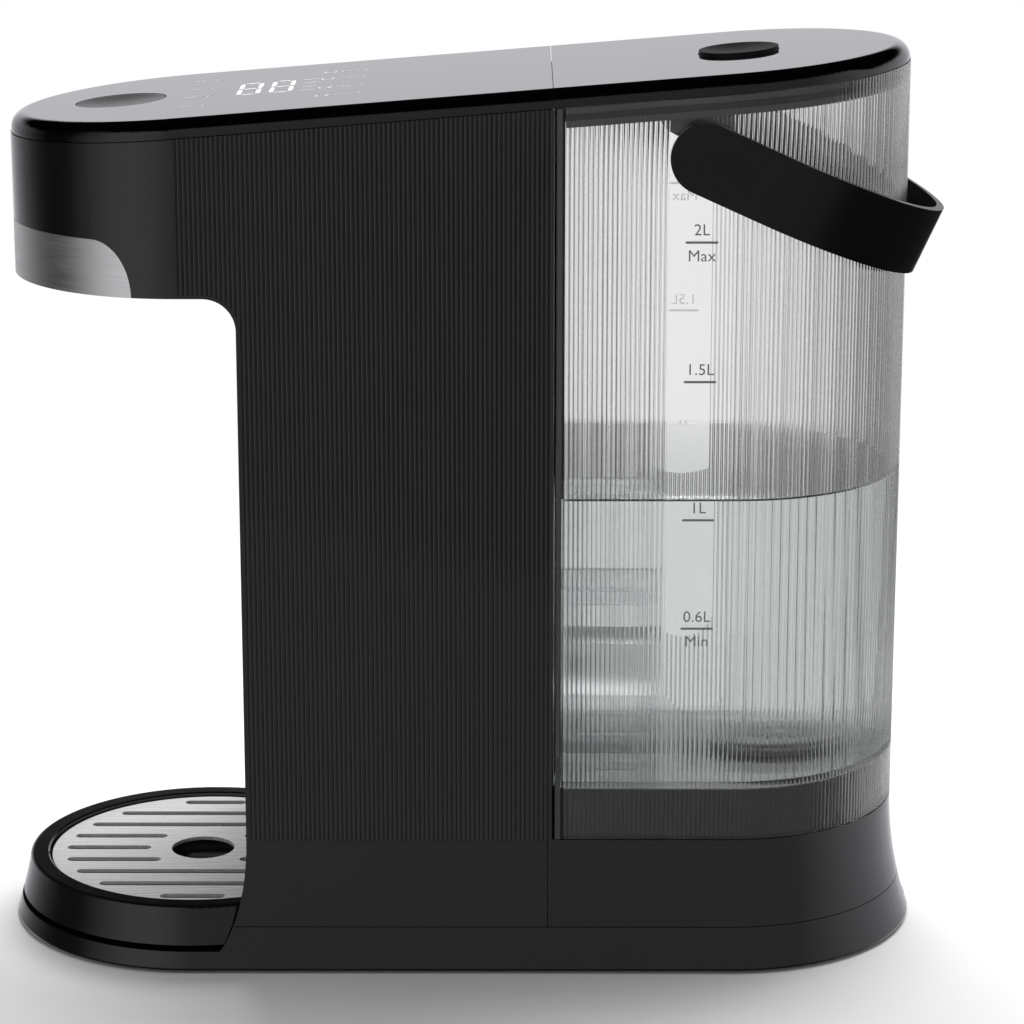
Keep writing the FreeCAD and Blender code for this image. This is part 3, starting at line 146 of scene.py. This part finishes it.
def polished(name, dark, light, rough=(0.02, 0.05)):
    """High-gloss plastic: an almost even surface with faint wiping marks in its gloss."""
    shader = Shader(name)
    shader.colours(shader.noise(20), dark, light)
    shader.rough(shader.noise(90, 5, (1, 3, 1)), rough[0], rough[1])
    shader.bump(shader.noise(45, 1), 0.000004)
    return shader.material


def brushed(name, along, level=0.62, rough=(0.2, 0.34), metal=1.0, warmth=0.0, dim=0.92):
    """Brushed stainless steel. The streaks run the way that along names, by its small scales."""
    shader = Shader(name)
    streaks = shader.noise(2200, 3, along)
    shader.colours(streaks, grey(level * dim, warmth), grey(level, warmth))
    shader.rough(streaks, rough[0], rough[1])
    shader.bump(streaks, 0.0000025)
    shader.set(Metallic=metal)
    return shader.material


def plated(name, dark, light):
    """Bare or plated metal with a fine mottle."""
    shader = Shader(name)
    pattern = shader.noise(300, 4)
    shader.colours(pattern, dark, light)
    shader.rough(pattern, 0.25, 0.4)
    shader.bump(pattern, 0.00001)
    shader.set(Metallic=1.0)
    return shader.material


def clear(name, colour, ior, rough, density=0.0, tint=(1, 1, 1)):
    """A clear piece: it refracts what is behind it, takes away a little light with depth, and lets lamps
    shine through."""
    shader = Shader(name)
    shader.colours(shader.noise(40), tuple(0.985 * c for c in colour), colour)
    shader.rough(shader.noise(120, 3), rough[0], rough[1])
    shader.set(Transmission_Weight=1.0, IOR=ior)
    if density:
        depth = shader.node("ShaderNodeVolumeAbsorption")
        depth.inputs["Color"].default_value = (*tint, 1)
        depth.inputs["Density"].default_value = density
        shader.link(depth.outputs["Volume"], shader.output.inputs["Volume"])
    by = shader.node("ShaderNodeBsdfTransparent")
    by.inputs["Color"].default_value = (*grey(SHADOW_LIGHT), 1)
    path = shader.node("ShaderNodeLightPath")
    mix = shader.node("ShaderNodeMixShader")
    shader.link(path.outputs["Is Shadow Ray"], mix.inputs["Fac"])
    shader.link(shader.surface.outputs["BSDF"], mix.inputs[1])
    shader.link(by.outputs["BSDF"], mix.inputs[2])
    shader.link(mix.outputs["Shader"], shader.output.inputs["Surface"])
    return shader.material


def ink(name, level, glow=0.0):
    """Printed marks: thin ink that is a little uneven. Where glow is given, the ink also gives off painted
    light of its own.
    """
    shader = Shader(name)
    pattern = shader.noise(900, 2)
    shader.colours(pattern, grey(level * 0.9), grey(level))
    shader.rough(pattern, 0.45, 0.55)
    # painted light: a glow makes the ink shine by itself, brighter than the lamps light it
    if glow:
        shader.set(Emission_Color=(1, 1, 1, 1), Emission_Strength=glow)
    return shader.material


satin_black = moulded("satin_black", grey(0.0055, -0.04), grey(0.0068, -0.04), (0.08, 0.12), 0.000001)
plug_black = moulded("plug_black", grey(0.07), grey(0.09), (0.4, 0.5))
inner_black = moulded("inner_black", grey(0.012), grey(0.018), (0.45, 0.6))
dock_black = moulded("dock_black", grey(0.01), grey(0.013), (0.35, 0.45), gloss=0.3)
handle_black = moulded("handle_black", grey(0.002), grey(0.003), (0.3, 0.38), 0.000006, gloss=0.3)
gloss_black = polished("gloss_black", grey(0.0006), grey(0.001))
button_black = moulded("button_black", grey(0.008), grey(0.012), (0.45, 0.55), 0.000002, gloss=0.2)
# a paler grey than the cover's black: painted light that lifts the dark shading in the button's dish
dish_grey_painted_light = moulded("dish_grey_painted_light", grey(0.05), grey(0.06), (0.34, 0.38), 0.000002)
band_steel = brushed("band_steel", (0.02, 0.02, 1), 0.7, (0.32, 0.44), warmth=0.02, dim=0.95)
grille_steel = brushed("grille_steel", (0.02, 1, 0.02), 0.84, metal=0.2, dim=0.96)
tank_clear = clear("tank_clear", (0.985, 0.985, 0.985), 1.36, (0.0, 0.012), 120.0, (0.77, 0.775, 0.77))
float_milky = clear("float_milky", (0.85, 0.86, 0.86), 1.4, (0.4, 0.5))
cage_clear = clear("cage_clear", (0.9, 0.92, 0.93), 1.48, (0.12, 0.2))
water_clear = clear("water_clear", (0.99, 1.0, 1.0), 1.333, (0.0, 0.004), 14.0, (0.82, 0.84, 0.84))
dark_rubber = moulded("dark_rubber", grey(0.02), grey(0.03), (0.7, 0.85), 0.00002, gloss=0.3)
milky_silicone = moulded("milky_silicone", grey(0.55, 0.02), grey(0.66, 0.02), (0.4, 0.55))
mid_plastic = moulded("mid_plastic", grey(0.16), grey(0.21), (0.4, 0.5))
pale_plastic = moulded("pale_plastic", grey(0.6, 0.02), grey(0.7, 0.02), (0.35, 0.5))
board_green = moulded("board_green", (0.01, 0.07, 0.03), (0.015, 0.1, 0.04), (0.35, 0.45), 0.00004)
bare_metal = plated("bare_metal", grey(0.5), grey(0.62))
copper = plated("copper", (0.55, 0.25, 0.12), (0.7, 0.34, 0.18))
display_glass = polished("display_glass", (0.01, 0.01, 0.012), (0.02, 0.02, 0.025), (0.1, 0.2))
mark_ink = ink("mark_ink", 0.2)
# the inner faces of the far marks: pale ink with a strong painted glow
pale_ink_painted_glow = ink("pale_ink_painted_glow", 0.8, glow=0.42)
# the print on the cover carries a faint painted glow
panel_ink = ink("panel_ink", 0.8, glow=0.05)
faint_ink = ink("faint_ink", 0.58, glow=0.05)

FINISHES = {
    # the housing
    "base_foot": satin_black, "rubber_feet": dark_rubber, "base_screws": bare_metal,
    "cord_gland": inner_black, "main_shell": satin_black, "back_panel": inner_black, "spout_band": band_steel,
    "nozzle_bezel": inner_black, "spout_nozzle": milky_silicone, "control_cover": gloss_black,
    "dispense_button": dish_grey_painted_light,
    # the dock
    "dock_housing": satin_black, "dock_pedestal": dock_black, "dock_seal": milky_silicone,
    "dock_pin": pale_plastic,
    # inside the housing
    "control_board": board_green, "display_module": display_glass, "button_switch": bare_metal,
    "heater_tube": bare_metal, "heater_caps": pale_plastic, "heater_brackets": pale_plastic,
    "thermal_cutouts": bare_metal, "temperature_sensor": copper, "water_pump": mid_plastic,
    "pump_cushion": dark_rubber, "flow_meter": pale_plastic, "pump_hose": milky_silicone,
    "inlet_hose": milky_silicone, "outlet_hose": milky_silicone, "power_board": board_green,
    "power_parts": mid_plastic, "terminal_block": pale_plastic, "level_sensor": mid_plastic,
    # the tank
    "tank_shell": tank_clear, "handle_pins": handle_black, "handle_strap": handle_black,
    "valve_housing": mid_plastic, "valve_poppet": pale_plastic, "poppet_seal": milky_silicone,
    "valve_spring": bare_metal, "inlet_strainer": mid_plastic, "float_cage": cage_clear,
    "level_float": float_milky, "float_magnet": bare_metal,
    # the lid
    "lid_cover": gloss_black, "lid_plug": plug_black, "lid_seal": dark_rubber, "button_spring": bare_metal,
    "lid_button": button_black,
    # the drip tray
    "drip_tray": satin_black, "drip_grille": grille_steel,
}
CREASE = math.radians(32)                 # edges sharper than this stay sharp


def even_normals(piece):
    """Normals that leave the flats flat beside the rounded edges."""
    weighted = piece.modifiers.new("normals", "WEIGHTED_NORMAL")
    weighted.mode = "FACE_AREA"
    weighted.weight = 100
    weighted.keep_sharp = True


def finish_nodes():
    for name, piece in nodes.items():
        piece.data.materials.clear()
        piece.data.materials.append(FINISHES[name])
        piece.data.shade_smooth()
        piece.data.set_sharp_from_angle(angle=CREASE)
        even_normals(piece)


finish_nodes()


# Pieces that only the looks need
def new_piece(name, mesh, material, body):
    """A piece that rides on a body, with the material it is given."""
    piece = bpy.data.objects.new(name, mesh)
    bpy.context.scene.collection.objects.link(piece)
    mesh.materials.clear()
    mesh.materials.append(material)
    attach(piece, body)
    return piece


REAR_STEPS = 48
CORNER_STEPS = 8


def tank_outline(inset):
    """Plan points of the tank, drawn in by an inset: small front corners and a round rear."""
    half = TANK_RADIUS - inset
    front = TANK_FRONT_X + inset
    corner = TANK_CORNER
    points = []
    for step in range(REAR_STEPS + 1):
        angle = -math.pi / 2 + math.pi * step / REAR_STEPS
        points.append((TANK_CENTRE_X + half * math.cos(angle), half * math.sin(angle)))
    for centre_y, first in ((half - corner, math.pi / 2), (corner - half, math.pi)):
        for step in range(CORNER_STEPS + 1):
            angle = first + math.pi / 2 * step / CORNER_STEPS
            points.append((front + corner + corner * math.cos(angle), centre_y + corner * math.sin(angle)))
    return points


def close_rings(shape, rings):
    """Smooth faces between rings of points that follow one another."""
    for low, high in zip(rings, rings[1:]):
        for index in range(len(low)):
            following = (index + 1) % len(low)
            shape.faces.new((low[index], low[following], high[following], high[index])).smooth = True


MEET = 0.05 * MM                          # how far the water reaches into the walls, to leave no air between
CLIMB = 0.9 * MM                          # height of the water's edge where it climbs the walls
CLIMB_REACH = 1.0 * MM                    # how far from the wall the climb starts
CLIMB_STEPS = 5


def make_water():
    """The water in the tank, with a surface that climbs the walls a little."""
    mesh = bpy.data.meshes.new("water")
    shape = bmesh.new()
    levels = [(-MEET, TANK_FLOOR_Z - MEET), (-MEET, WATER_Z + CLIMB)]
    for step in range(1, CLIMB_STEPS + 1):
        share = math.sin(math.pi / 2 * step / CLIMB_STEPS)
        levels.append((CLIMB_REACH * share, WATER_Z + CLIMB * (1 - share)))
    rings = [[shape.verts.new((x, y, z)) for x, y in tank_outline(TANK_WALL + inset)] for inset, z in levels]
    close_rings(shape, rings)
    shape.faces.new(reversed(rings[0]))
    shape.faces.new(rings[-1])
    shape.to_mesh(mesh)
    shape.free()
    new_piece("water", mesh, water_clear, "tank")
    mesh.set_sharp_from_angle(angle=CREASE)


make_water()


COIL_STEPS = 24                           # steps in one turn
WIRE_SIDES = 8


def make_coil(name, node, body, place, radius, wire, rise, turns, slope=0.0):
    """A coil spring in place of its plain tube. It stands on place, given as x and z, and leans with the lid
    where it has a slope."""
    mesh = bpy.data.meshes.new(name)
    shape = bmesh.new()
    steps = COIL_STEPS * turns
    rings = []
    for step in range(steps + 1):
        angle = 2 * math.pi * turns * step / steps
        up = wire + (rise - 2 * wire) * step / steps
        ring = []
        for side in range(WIRE_SIDES):
            round_wire = 2 * math.pi * side / WIRE_SIDES
            reach = radius + wire * math.cos(round_wire)
            x = reach * math.cos(angle)
            height = up + slope * x + wire * math.sin(round_wire)
            ring.append(shape.verts.new((place[0] + x, reach * math.sin(angle), place[1] + height)))
        rings.append(ring)
    for low, high in zip(rings, rings[1:]):
        for side in range(WIRE_SIDES):
            after = (side + 1) % WIRE_SIDES
            shape.faces.new((low[side], high[side], high[after], low[after])).smooth = True
    shape.faces.new(rings[0])
    shape.faces.new(reversed(rings[-1]))
    shape.to_mesh(mesh)
    shape.free()
    piece = new_piece(name, mesh, bare_metal, body)
    mesh.set_sharp_from_angle(angle=CREASE)
    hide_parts(node)
    return piece


VALVE_X = 101.5 * MM
VALVE_COIL_LOW, VALVE_COIL_HIGH = 57.5 * MM, 64.6 * MM
valve_coil = make_coil("valve_coil", "valve_spring", "tank", (VALVE_X, VALVE_COIL_LOW), radius=4.5 * MM,
                       wire=0.4 * MM, rise=7.0 * MM, turns=4)
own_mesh(valve_coil)

LID_BUTTON_X = 88.5 * MM
BUTTON_COIL_Z = 283.9 * MM + SLOPE * LID_BUTTON_X
button_coil = make_coil("button_coil", "button_spring", "lid", (LID_BUTTON_X, BUTTON_COIL_Z + 0.05 * MM),
                        radius=8.3 * MM, wire=0.35 * MM, rise=2.95 * MM, turns=2, slope=SLOPE)
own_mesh(button_coil)


CAPITAL_SHARE = 0.7                       # height of a capital as a share of the font's size
BAR_END_STEPS = 6


def text_mesh(name, text, height, thickness, spacing=1.0):
    """Letters as a mesh, centred on the origin in X, with this capital height."""
    curve = bpy.data.curves.new(name, "FONT")
    curve.body = text
    curve.size = height / CAPITAL_SHARE
    curve.align_x = "CENTER"
    curve.extrude = thickness / 2
    curve.space_character = spacing
    carrier = bpy.data.objects.new(name + "_letters", curve)
    bpy.context.scene.collection.objects.link(carrier)
    bpy.context.view_layer.update()
    mesh = bpy.data.meshes.new_from_object(carrier.evaluated_get(bpy.context.evaluated_depsgraph_get()))
    bpy.data.objects.remove(carrier)
    return mesh


def bar_mesh(shape, centre, length, width, thickness):
    """A flat bar with rounded ends in the XY plane."""
    radius = width / 2
    straight = length / 2 - radius
    outline = []
    for side, first in ((1, -math.pi / 2), (-1, math.pi / 2)):
        for step in range(BAR_END_STEPS + 1):
            angle = first + math.pi * step / BAR_END_STEPS
            outline.append((centre[0] + side * straight + radius * math.cos(angle),
                            centre[1] + radius * math.sin(angle)))
    low = [shape.verts.new((x, y, -thickness / 2)) for x, y in outline]
    high = [shape.verts.new((x, y, thickness / 2)) for x, y in outline]
    shape.faces.new(high)
    shape.faces.new(reversed(low))
    for index in range(len(outline)):
        following = (index + 1) % len(outline)
        shape.faces.new((low[index], low[following], high[following], high[index]))


def drawn(name, draw):
    """A mesh made by a function that draws into an open shape."""
    mesh = bpy.data.meshes.new(name)
    shape = bmesh.new()
    draw(shape)
    shape.to_mesh(mesh)
    shape.free()
    return mesh


# Level marks on the two gauge windows
MARK_X = 74.4 * MM
MARK_CAP = 3.6 * MM
MARK_THICKNESS = 0.04 * MM
MARK_SPACING = 1.02
LINE_LENGTH, LINE_WIDTH = 10.4 * MM, 0.75 * MM
LITRES_ABOVE = 2.3 * MM
WORD_BELOW = 6.0 * MM
# text, height of the line in mm, word under it, name
MARKS = [("2L", 243.7, "Max", "two"), ("1.5L", 198.8, None, "one_and_half"), ("1L", 153.4, None, "one"),
         ("0.6L", 117.1, "Min", "low")]


def show_pale_inside(piece):
    """The far marks are pale, with a painted glow, where they show through the tank from within."""
    piece.data.materials.append(pale_ink_painted_glow)
    for face in piece.data.polygons:
        if face.normal.y < -0.5:
            face.material_index = 1


def draw_mark_line(shape):
    bar_mesh(shape, (0, 0), LINE_LENGTH, LINE_WIDTH, MARK_THICKNESS)


def make_marks():
    """The scale on both windows. The far side goes without the lowest mark, which the photograph doesn't
    show."""
    for side, side_name in ((-1, "near"), (1, "far")):
        turn = Matrix.Rotation(math.radians(90), 4, "X")
        if side > 0:
            turn = Matrix.Rotation(math.pi, 4, "Z") @ turn
        stand = side * (TANK_RADIUS + MARK_THICKNESS / 2)
        for text, height, word, label in MARKS[:3] if side > 0 else MARKS:
            z = height * MM
            line = drawn("line", draw_mark_line)
            litres = text_mesh("litres", text, MARK_CAP, MARK_THICKNESS, MARK_SPACING)
            written = [("line", line, z), ("litres", litres, z + LITRES_ABOVE)]
            if word:
                mesh = text_mesh("word", word, MARK_CAP, MARK_THICKNESS, MARK_SPACING)
                written.append(("word", mesh, z - WORD_BELOW))
            for kind, mesh, mark_z in written:
                mesh.transform(Matrix.Translation((MARK_X, stand, mark_z)) @ turn)
                piece = new_piece(f"mark_{side_name}_{label}_{kind}", mesh, mark_ink, "tank")
                if side > 0:
                    show_pale_inside(piece)


make_marks()


# Print on the sloping cover, read from the near side. Places are in mm along and across the cover.
DECK_TURN = Matrix.Rotation(-math.atan(SLOPE), 4, "Y")
PRINT_THICKNESS = 0.03 * MM
DIGIT_WIDTH = 6.2 * MM
DIGIT_HEIGHT = 26 * MM
DIGIT_STROKE = 1.5 * MM
DIGIT_Y = 2.5
DIGIT_XS = (-71.2, -60.6)
UNIT_X = -51.5
UNIT_YS = (14.5, 6, -2.5, -11)
UNIT_LENGTH, UNIT_WIDTH = 5.6 * MM, 1.1 * MM
CUP_X = -46.2
CUP_STROKE = 0.7 * MM
AMOUNT_X = -38.4
AMOUNT_CAP = 2.4
AMOUNTS = [(28.5, "150 ml"), (12, "250 ml"), (-8.4, "350 ml"), (-27, "450 ml")]
SETTING_X = -87
SETTING_CAP = 3.0
SETTINGS = [(31, "25 °C"), (11.4, "45 °C"), (-7.3, "85 °C"), (-28, "95 °C")]
STROKE_SHORTER = 1.3              # how many stroke widths a stroke stays short of its side, for the gaps
# each stroke's place across, in widths, and up, in half heights, and whether it is upright
SEGMENTS = [(0, 1, 0), (0, 0, 0), (0, -1, 0), (-0.5, 0.5, 1), (0.5, 0.5, 1), (-0.5, -0.5, 1), (0.5, -0.5, 1)]
# x, y and length in mm, and turn in degrees, of the base and the two sides
CUP_STROKES = [(0, -1.9, 2.6, 0), (-1.7, 0, 4.2, 100), (1.7, 0, 4.2, 80)]


def on_deck(x, y):
    """The place of a flat drawing on the cover."""
    return Matrix.Translation((x * MM, y * MM, DECK_Z + SLOPE * x * MM + PRINT_THICKNESS / 2)) @ DECK_TURN


def add_stroke(shape, x, y, length, width, turn):
    """A bar of print in a drawing, turned by so many degrees."""
    bar = bmesh.new()
    bar_mesh(bar, (0, 0), length, width, PRINT_THICKNESS)
    bar.transform(Matrix.Translation((x, y, 0)) @ Matrix.Rotation(math.radians(turn), 4, "Z"))
    part = bpy.data.meshes.new("part")
    bar.to_mesh(part)
    bar.free()
    shape.from_mesh(part)
    bpy.data.meshes.remove(part)


def draw_digit(shape):
    """A seven-segment digit, all lit, with small gaps between its strokes."""
    for across, up, upright in SEGMENTS:
        length = (DIGIT_HEIGHT / 2 if upright else DIGIT_WIDTH) - DIGIT_STROKE * STROKE_SHORTER
        add_stroke(shape, across * DIGIT_WIDTH, up * DIGIT_HEIGHT / 2, length, DIGIT_STROKE, 90 * upright)


def draw_unit(shape):
    bar_mesh(shape, (0, 0), UNIT_LENGTH, UNIT_WIDTH, PRINT_THICKNESS)


def draw_cup(shape):
    for x, y, length, turn in CUP_STROKES:
        add_stroke(shape, x * MM, y * MM, length * MM, CUP_STROKE, turn)


def print_on_deck(name, mesh, x, y, material):
    mesh.transform(on_deck(x, y))
    new_piece(name, mesh, material, "base")


def make_panel_print():
    for index, x in enumerate(DIGIT_XS):
        print_on_deck(f"panel_digit_{index}", drawn("digit", draw_digit), x, DIGIT_Y, panel_ink)
    for index, y in enumerate(UNIT_YS):
        print_on_deck(f"panel_unit_{index}", drawn("unit", draw_unit), UNIT_X, y, faint_ink)
    for index, (y, words) in enumerate(AMOUNTS):
        amount = text_mesh("amount", words, AMOUNT_CAP * MM, PRINT_THICKNESS)
        print_on_deck(f"panel_amount_{index}", amount, AMOUNT_X, y - AMOUNT_CAP / 2, faint_ink)
        print_on_deck(f"panel_cup_{index}", drawn("cup", draw_cup), CUP_X, y, faint_ink)
    for index, (y, words) in enumerate(SETTINGS):
        setting = text_mesh("setting", words, SETTING_CAP * MM, PRINT_THICKNESS)
        print_on_deck(f"panel_setting_{index}", setting, SETTING_X, y - SETTING_CAP / 2, faint_ink)


make_panel_print()


# Floor, lamps, world and camera
FLOOR_REACH = 6.0
FLOOR_FADE = (0.2, 0.6)           # distances from the middle between which the floor fades to white
FLAG_X, FLAG_NEAR_Y, FLAG_FAR_Y, FLAG_LOW, FLAG_HIGH = 0.25, -0.2, 0.32, 0.065, 0.245


def sheet(name, corners):
    """A flat four-cornered object of the studio."""
    mesh = bpy.data.meshes.new(name)
    mesh.from_pydata(corners, [], [(0, 1, 2, 3)])
    held = bpy.data.objects.new(name, mesh)
    bpy.context.scene.collection.objects.link(held)
    return held


def matt_shader(name, dark, light):
    """A matt surface that is almost even. It stays open for more nodes."""
    shader = Shader(name)
    shader.colours(shader.noise(3), grey(dark), grey(light))
    shader.set(Roughness=0.9, Specular_IOR_Level=0.0)
    return shader


def make_floor():
    """A pale floor. To the camera it fades to plain white away from the object."""
    reach = FLOOR_REACH
    floor = sheet("floor", [(-reach, -reach, 0), (reach, -reach, 0), (reach, reach, 0), (-reach, reach, 0)])
    shader = matt_shader("floor_white", 0.88, 0.9)
    distance = shader.node("ShaderNodeVectorMath", operation="LENGTH")
    shader.link(shader.place, distance.inputs[0])
    fade = shader.spread(distance.outputs["Value"], 0.0, 1.0, *FLOOR_FADE)
    path = shader.node("ShaderNodeLightPath")
    seen = shader.node("ShaderNodeMath", operation="MULTIPLY")
    shader.link(fade, seen.inputs[0])
    shader.link(path.outputs["Is Camera Ray"], seen.inputs[1])
    white = shader.node("ShaderNodeEmission")
    white.inputs["Color"].default_value = (1, 1, 1, 1)
    mix = shader.node("ShaderNodeMixShader")
    shader.link(seen.outputs["Value"], mix.inputs["Fac"])
    shader.link(shader.surface.outputs["BSDF"], mix.inputs[1])
    shader.link(white.outputs["Emission"], mix.inputs[2])
    shader.link(mix.outputs["Shader"], shader.output.inputs["Surface"])
    floor.data.materials.append(shader.material)
    floor.visible_glossy = False
    floor.visible_transmission = False


def soft_box(name, place, aim, width, height, power):
    """A wide soft lamp. Mirrored rays see the room instead of it."""
    lamp = bpy.data.lights.new(name, "AREA")
    lamp.shape = "RECTANGLE"
    lamp.size = width
    lamp.size_y = height
    lamp.energy = power
    holder = bpy.data.objects.new(name, lamp)
    holder.location = place
    holder.rotation_euler = (Vector(aim) - Vector(place)).to_track_quat("-Z", "Y").to_euler()
    holder.visible_glossy = False
    bpy.context.scene.collection.objects.link(holder)


def make_flag():
    """A dark card beyond the tank, as in a studio: only its mirror image in the clear wall is seen."""
    flag = sheet("flag", [(FLAG_X, FLAG_NEAR_Y, FLAG_LOW), (FLAG_X, FLAG_FAR_Y, FLAG_LOW),
                          (FLAG_X, FLAG_FAR_Y, FLAG_HIGH), (FLAG_X, FLAG_NEAR_Y, FLAG_HIGH)])
    flag.data.materials.append(matt_shader("flag_dark", 0.05, 0.06).material)
    flag.visible_camera = False
    flag.visible_diffuse = False
    flag.visible_transmission = False
    flag.visible_shadow = False


# The room's brightness by direction, in degrees round from the camera's side, with the spout's side positive
MIRRORED_ROOM = [(-180, 1.0), (-165, 1.0), (-150, 0.9), (-106, 1.0), (-86, 0.95), (-69, 0.73), (-47, 0.42),
                 (0, 0.42), (8, 0.5), (15, 0.72), (28, 0.88), (44, 0.83), (52, 0.67), (60, 0.5), (69, 0.27),
                 (78, 0.06), (88, 0.02), (99, 0.03), (111, 0.14), (118, 0.25), (126, 0.35), (134, 0.5),
                 (145, 0.65), (158, 0.8), (168, 1.0), (180, 1.0)]
BEHIND_GLASS = [(-180, 1.0), (-167, 1.0), (-159, 0.8), (-150, 0.5), (-140, 0.4), (-128, 0.3), (-100, 0.25),
                (-60, 0.35), (0, 0.8), (60, 0.35), (110, 0.22), (135, 0.22), (145, 0.28), (152, 0.42),
                (160, 0.75), (167, 1.0), (180, 1.0)]
DIFFUSE_ROOM = 0.4                # the room's plain level, which lights everything
MIRRORED_TINT = (0.965, 0.97, 1.02, 1)
# heights of a ray, as the sine of its rise, between which the room changes
MIRRORED_TOP = (0.17, 0.36)       # bright to dark, beyond the object
NEAR_TOP_HIGHER = 0.3             # the same change is this much higher on the camera's side
SIDE_CHANGE = (-0.15, 0.15)       # the camera's side to beyond the object, by the ray's Y
MIRRORED_BOTTOM = (-0.65, -0.48)  # dark to bright
BOTTOM_LEVEL = 0.05
GLASS_TOP = (0.2, 0.6)            # bright to dim
GLASS_TOP_LEVEL = 0.3


class Room:
    """The node tree of the world."""

    def __init__(self):
        self.world = bpy.data.worlds.new("studio")
        bpy.context.scene.world = self.world
        self.world.use_nodes = True
        self.tree = self.world.node_tree
        self.path = self.tree.nodes.new("ShaderNodeLightPath")
        place = self.tree.nodes.new("ShaderNodeTexCoord")
        self.split = self.tree.nodes.new("ShaderNodeSeparateXYZ")
        self.tree.links.new(place.outputs["Generated"], self.split.inputs["Vector"])

    def math(self, operation, first, second=None):
        node = self.tree.nodes.new("ShaderNodeMath")
        node.operation = operation
        for socket, value in zip(node.inputs, (first, second)):
            if isinstance(value, (int, float)):
                socket.default_value = value
            elif value is not None:
                self.tree.links.new(value, socket)
        return node.outputs["Value"]

    def spread(self, value, from_low, from_high, low, high):
        """A smooth step from low to high."""
        node = self.tree.nodes.new("ShaderNodeMapRange")
        node.interpolation_type = "SMOOTHSTEP"
        self.tree.links.new(value, node.inputs["Value"])
        for socket, amount in zip(RANGE_SOCKETS, (from_low, from_high, low, high)):
            node.inputs[socket].default_value = amount
        return node.outputs["Result"]

    def around(self, levels):
        """Brightness by direction, from a list of degrees and levels."""
        angle = self.math("ARCTAN2", self.math("MULTIPLY", self.split.outputs["X"], -1.0),
                          self.math("MULTIPLY", self.split.outputs["Y"], -1.0))
        turn = self.math("ADD", self.math("DIVIDE", angle, 2 * math.pi), 0.5)
        ramp = self.tree.nodes.new("ShaderNodeValToRGB")
        stops = ramp.color_ramp.elements
        while len(stops) < len(levels):
            stops.new(0.5)
        for stop, (degrees, level) in zip(stops, levels):
            stop.position = (degrees + 180) / 360
            stop.color = (level, level, level, 1)
        self.tree.links.new(turn, ramp.inputs["Fac"])
        return ramp.outputs["Color"]

    def choose(self, flag, first, second):
        """The second value for rays of one kind, and the first for the others."""
        node = self.tree.nodes.new("ShaderNodeMix")
        self.tree.links.new(self.path.outputs[flag], node.inputs["Factor"])
        for name, value in (("A", first), ("B", second)):
            if isinstance(value, (int, float)):
                node.inputs[name].default_value = value
            else:
                self.tree.links.new(value, node.inputs[name])
        return node.outputs["Result"]


def make_world():
    """White to the camera. Reflections and clear pieces see the bright and dark parts of a room."""
    room = Room()
    up = room.split.outputs["Z"]
    beyond = room.spread(room.split.outputs["Y"], *SIDE_CHANGE, 0.0, 1.0)
    raised = room.math("MULTIPLY", room.math("SUBTRACT", 1.0, beyond), NEAR_TOP_HIGHER)
    height = room.math("SUBTRACT", up, raised)
    glossy = room.math("MULTIPLY", room.around(MIRRORED_ROOM), room.spread(height, *MIRRORED_TOP, 1.0, 0.0))
    glossy = room.math("MULTIPLY", glossy, room.spread(up, *MIRRORED_BOTTOM, BOTTOM_LEVEL, 1.0))
    glass_by_height = room.spread(up, *GLASS_TOP, 1.0, GLASS_TOP_LEVEL)
    glass = room.math("MULTIPLY", room.around(BEHIND_GLASS), glass_by_height)
    level = room.choose("Is Glossy Ray", DIFFUSE_ROOM, glossy)
    level = room.choose("Is Transmission Ray", level, glass)
    level = room.choose("Is Camera Ray", level, 1.0)
    tint = room.tree.nodes.new("ShaderNodeMix")
    tint.data_type = "RGBA"
    tint.inputs["A"].default_value = (1, 1, 1, 1)
    tint.inputs["B"].default_value = MIRRORED_TINT
    kind = room.path.outputs
    mirrored = room.math("SUBTRACT", kind["Is Glossy Ray"], kind["Is Transmission Ray"])
    room.tree.links.new(mirrored, tint.inputs["Factor"])
    background = room.tree.nodes["Background"]
    room.tree.links.new(tint.outputs["Result"], background.inputs["Color"])
    room.tree.links.new(level, background.inputs["Strength"])


CAMERA_PLACE = (0.01723, -1.13041, 0.44071)
CAMERA_DIP = 14.856                       # degrees below the level
CAMERA_TURN = 0.134


def make_camera():
    """The camera as fitted to the photograph's outlines."""
    data = bpy.data.cameras.new("camera")
    data.lens = 121.71
    data.sensor_width = 36
    data.clip_start = 0.05
    data.clip_end = 50
    camera = bpy.data.objects.new("camera", data)
    camera.location = CAMERA_PLACE
    camera.rotation_euler = (math.radians(90 - CAMERA_DIP), 0, math.radians(CAMERA_TURN))
    bpy.context.scene.collection.objects.link(camera)
    bpy.context.scene.camera = camera


make_floor()
make_flag()
make_world()
soft_box("top_box", place=(0.2, 0.62, 1.35), aim=(0, 0, 0.1), width=1.3, height=1.2, power=30)
make_camera()
bpy.context.scene.view_settings.view_transform = "Standard"
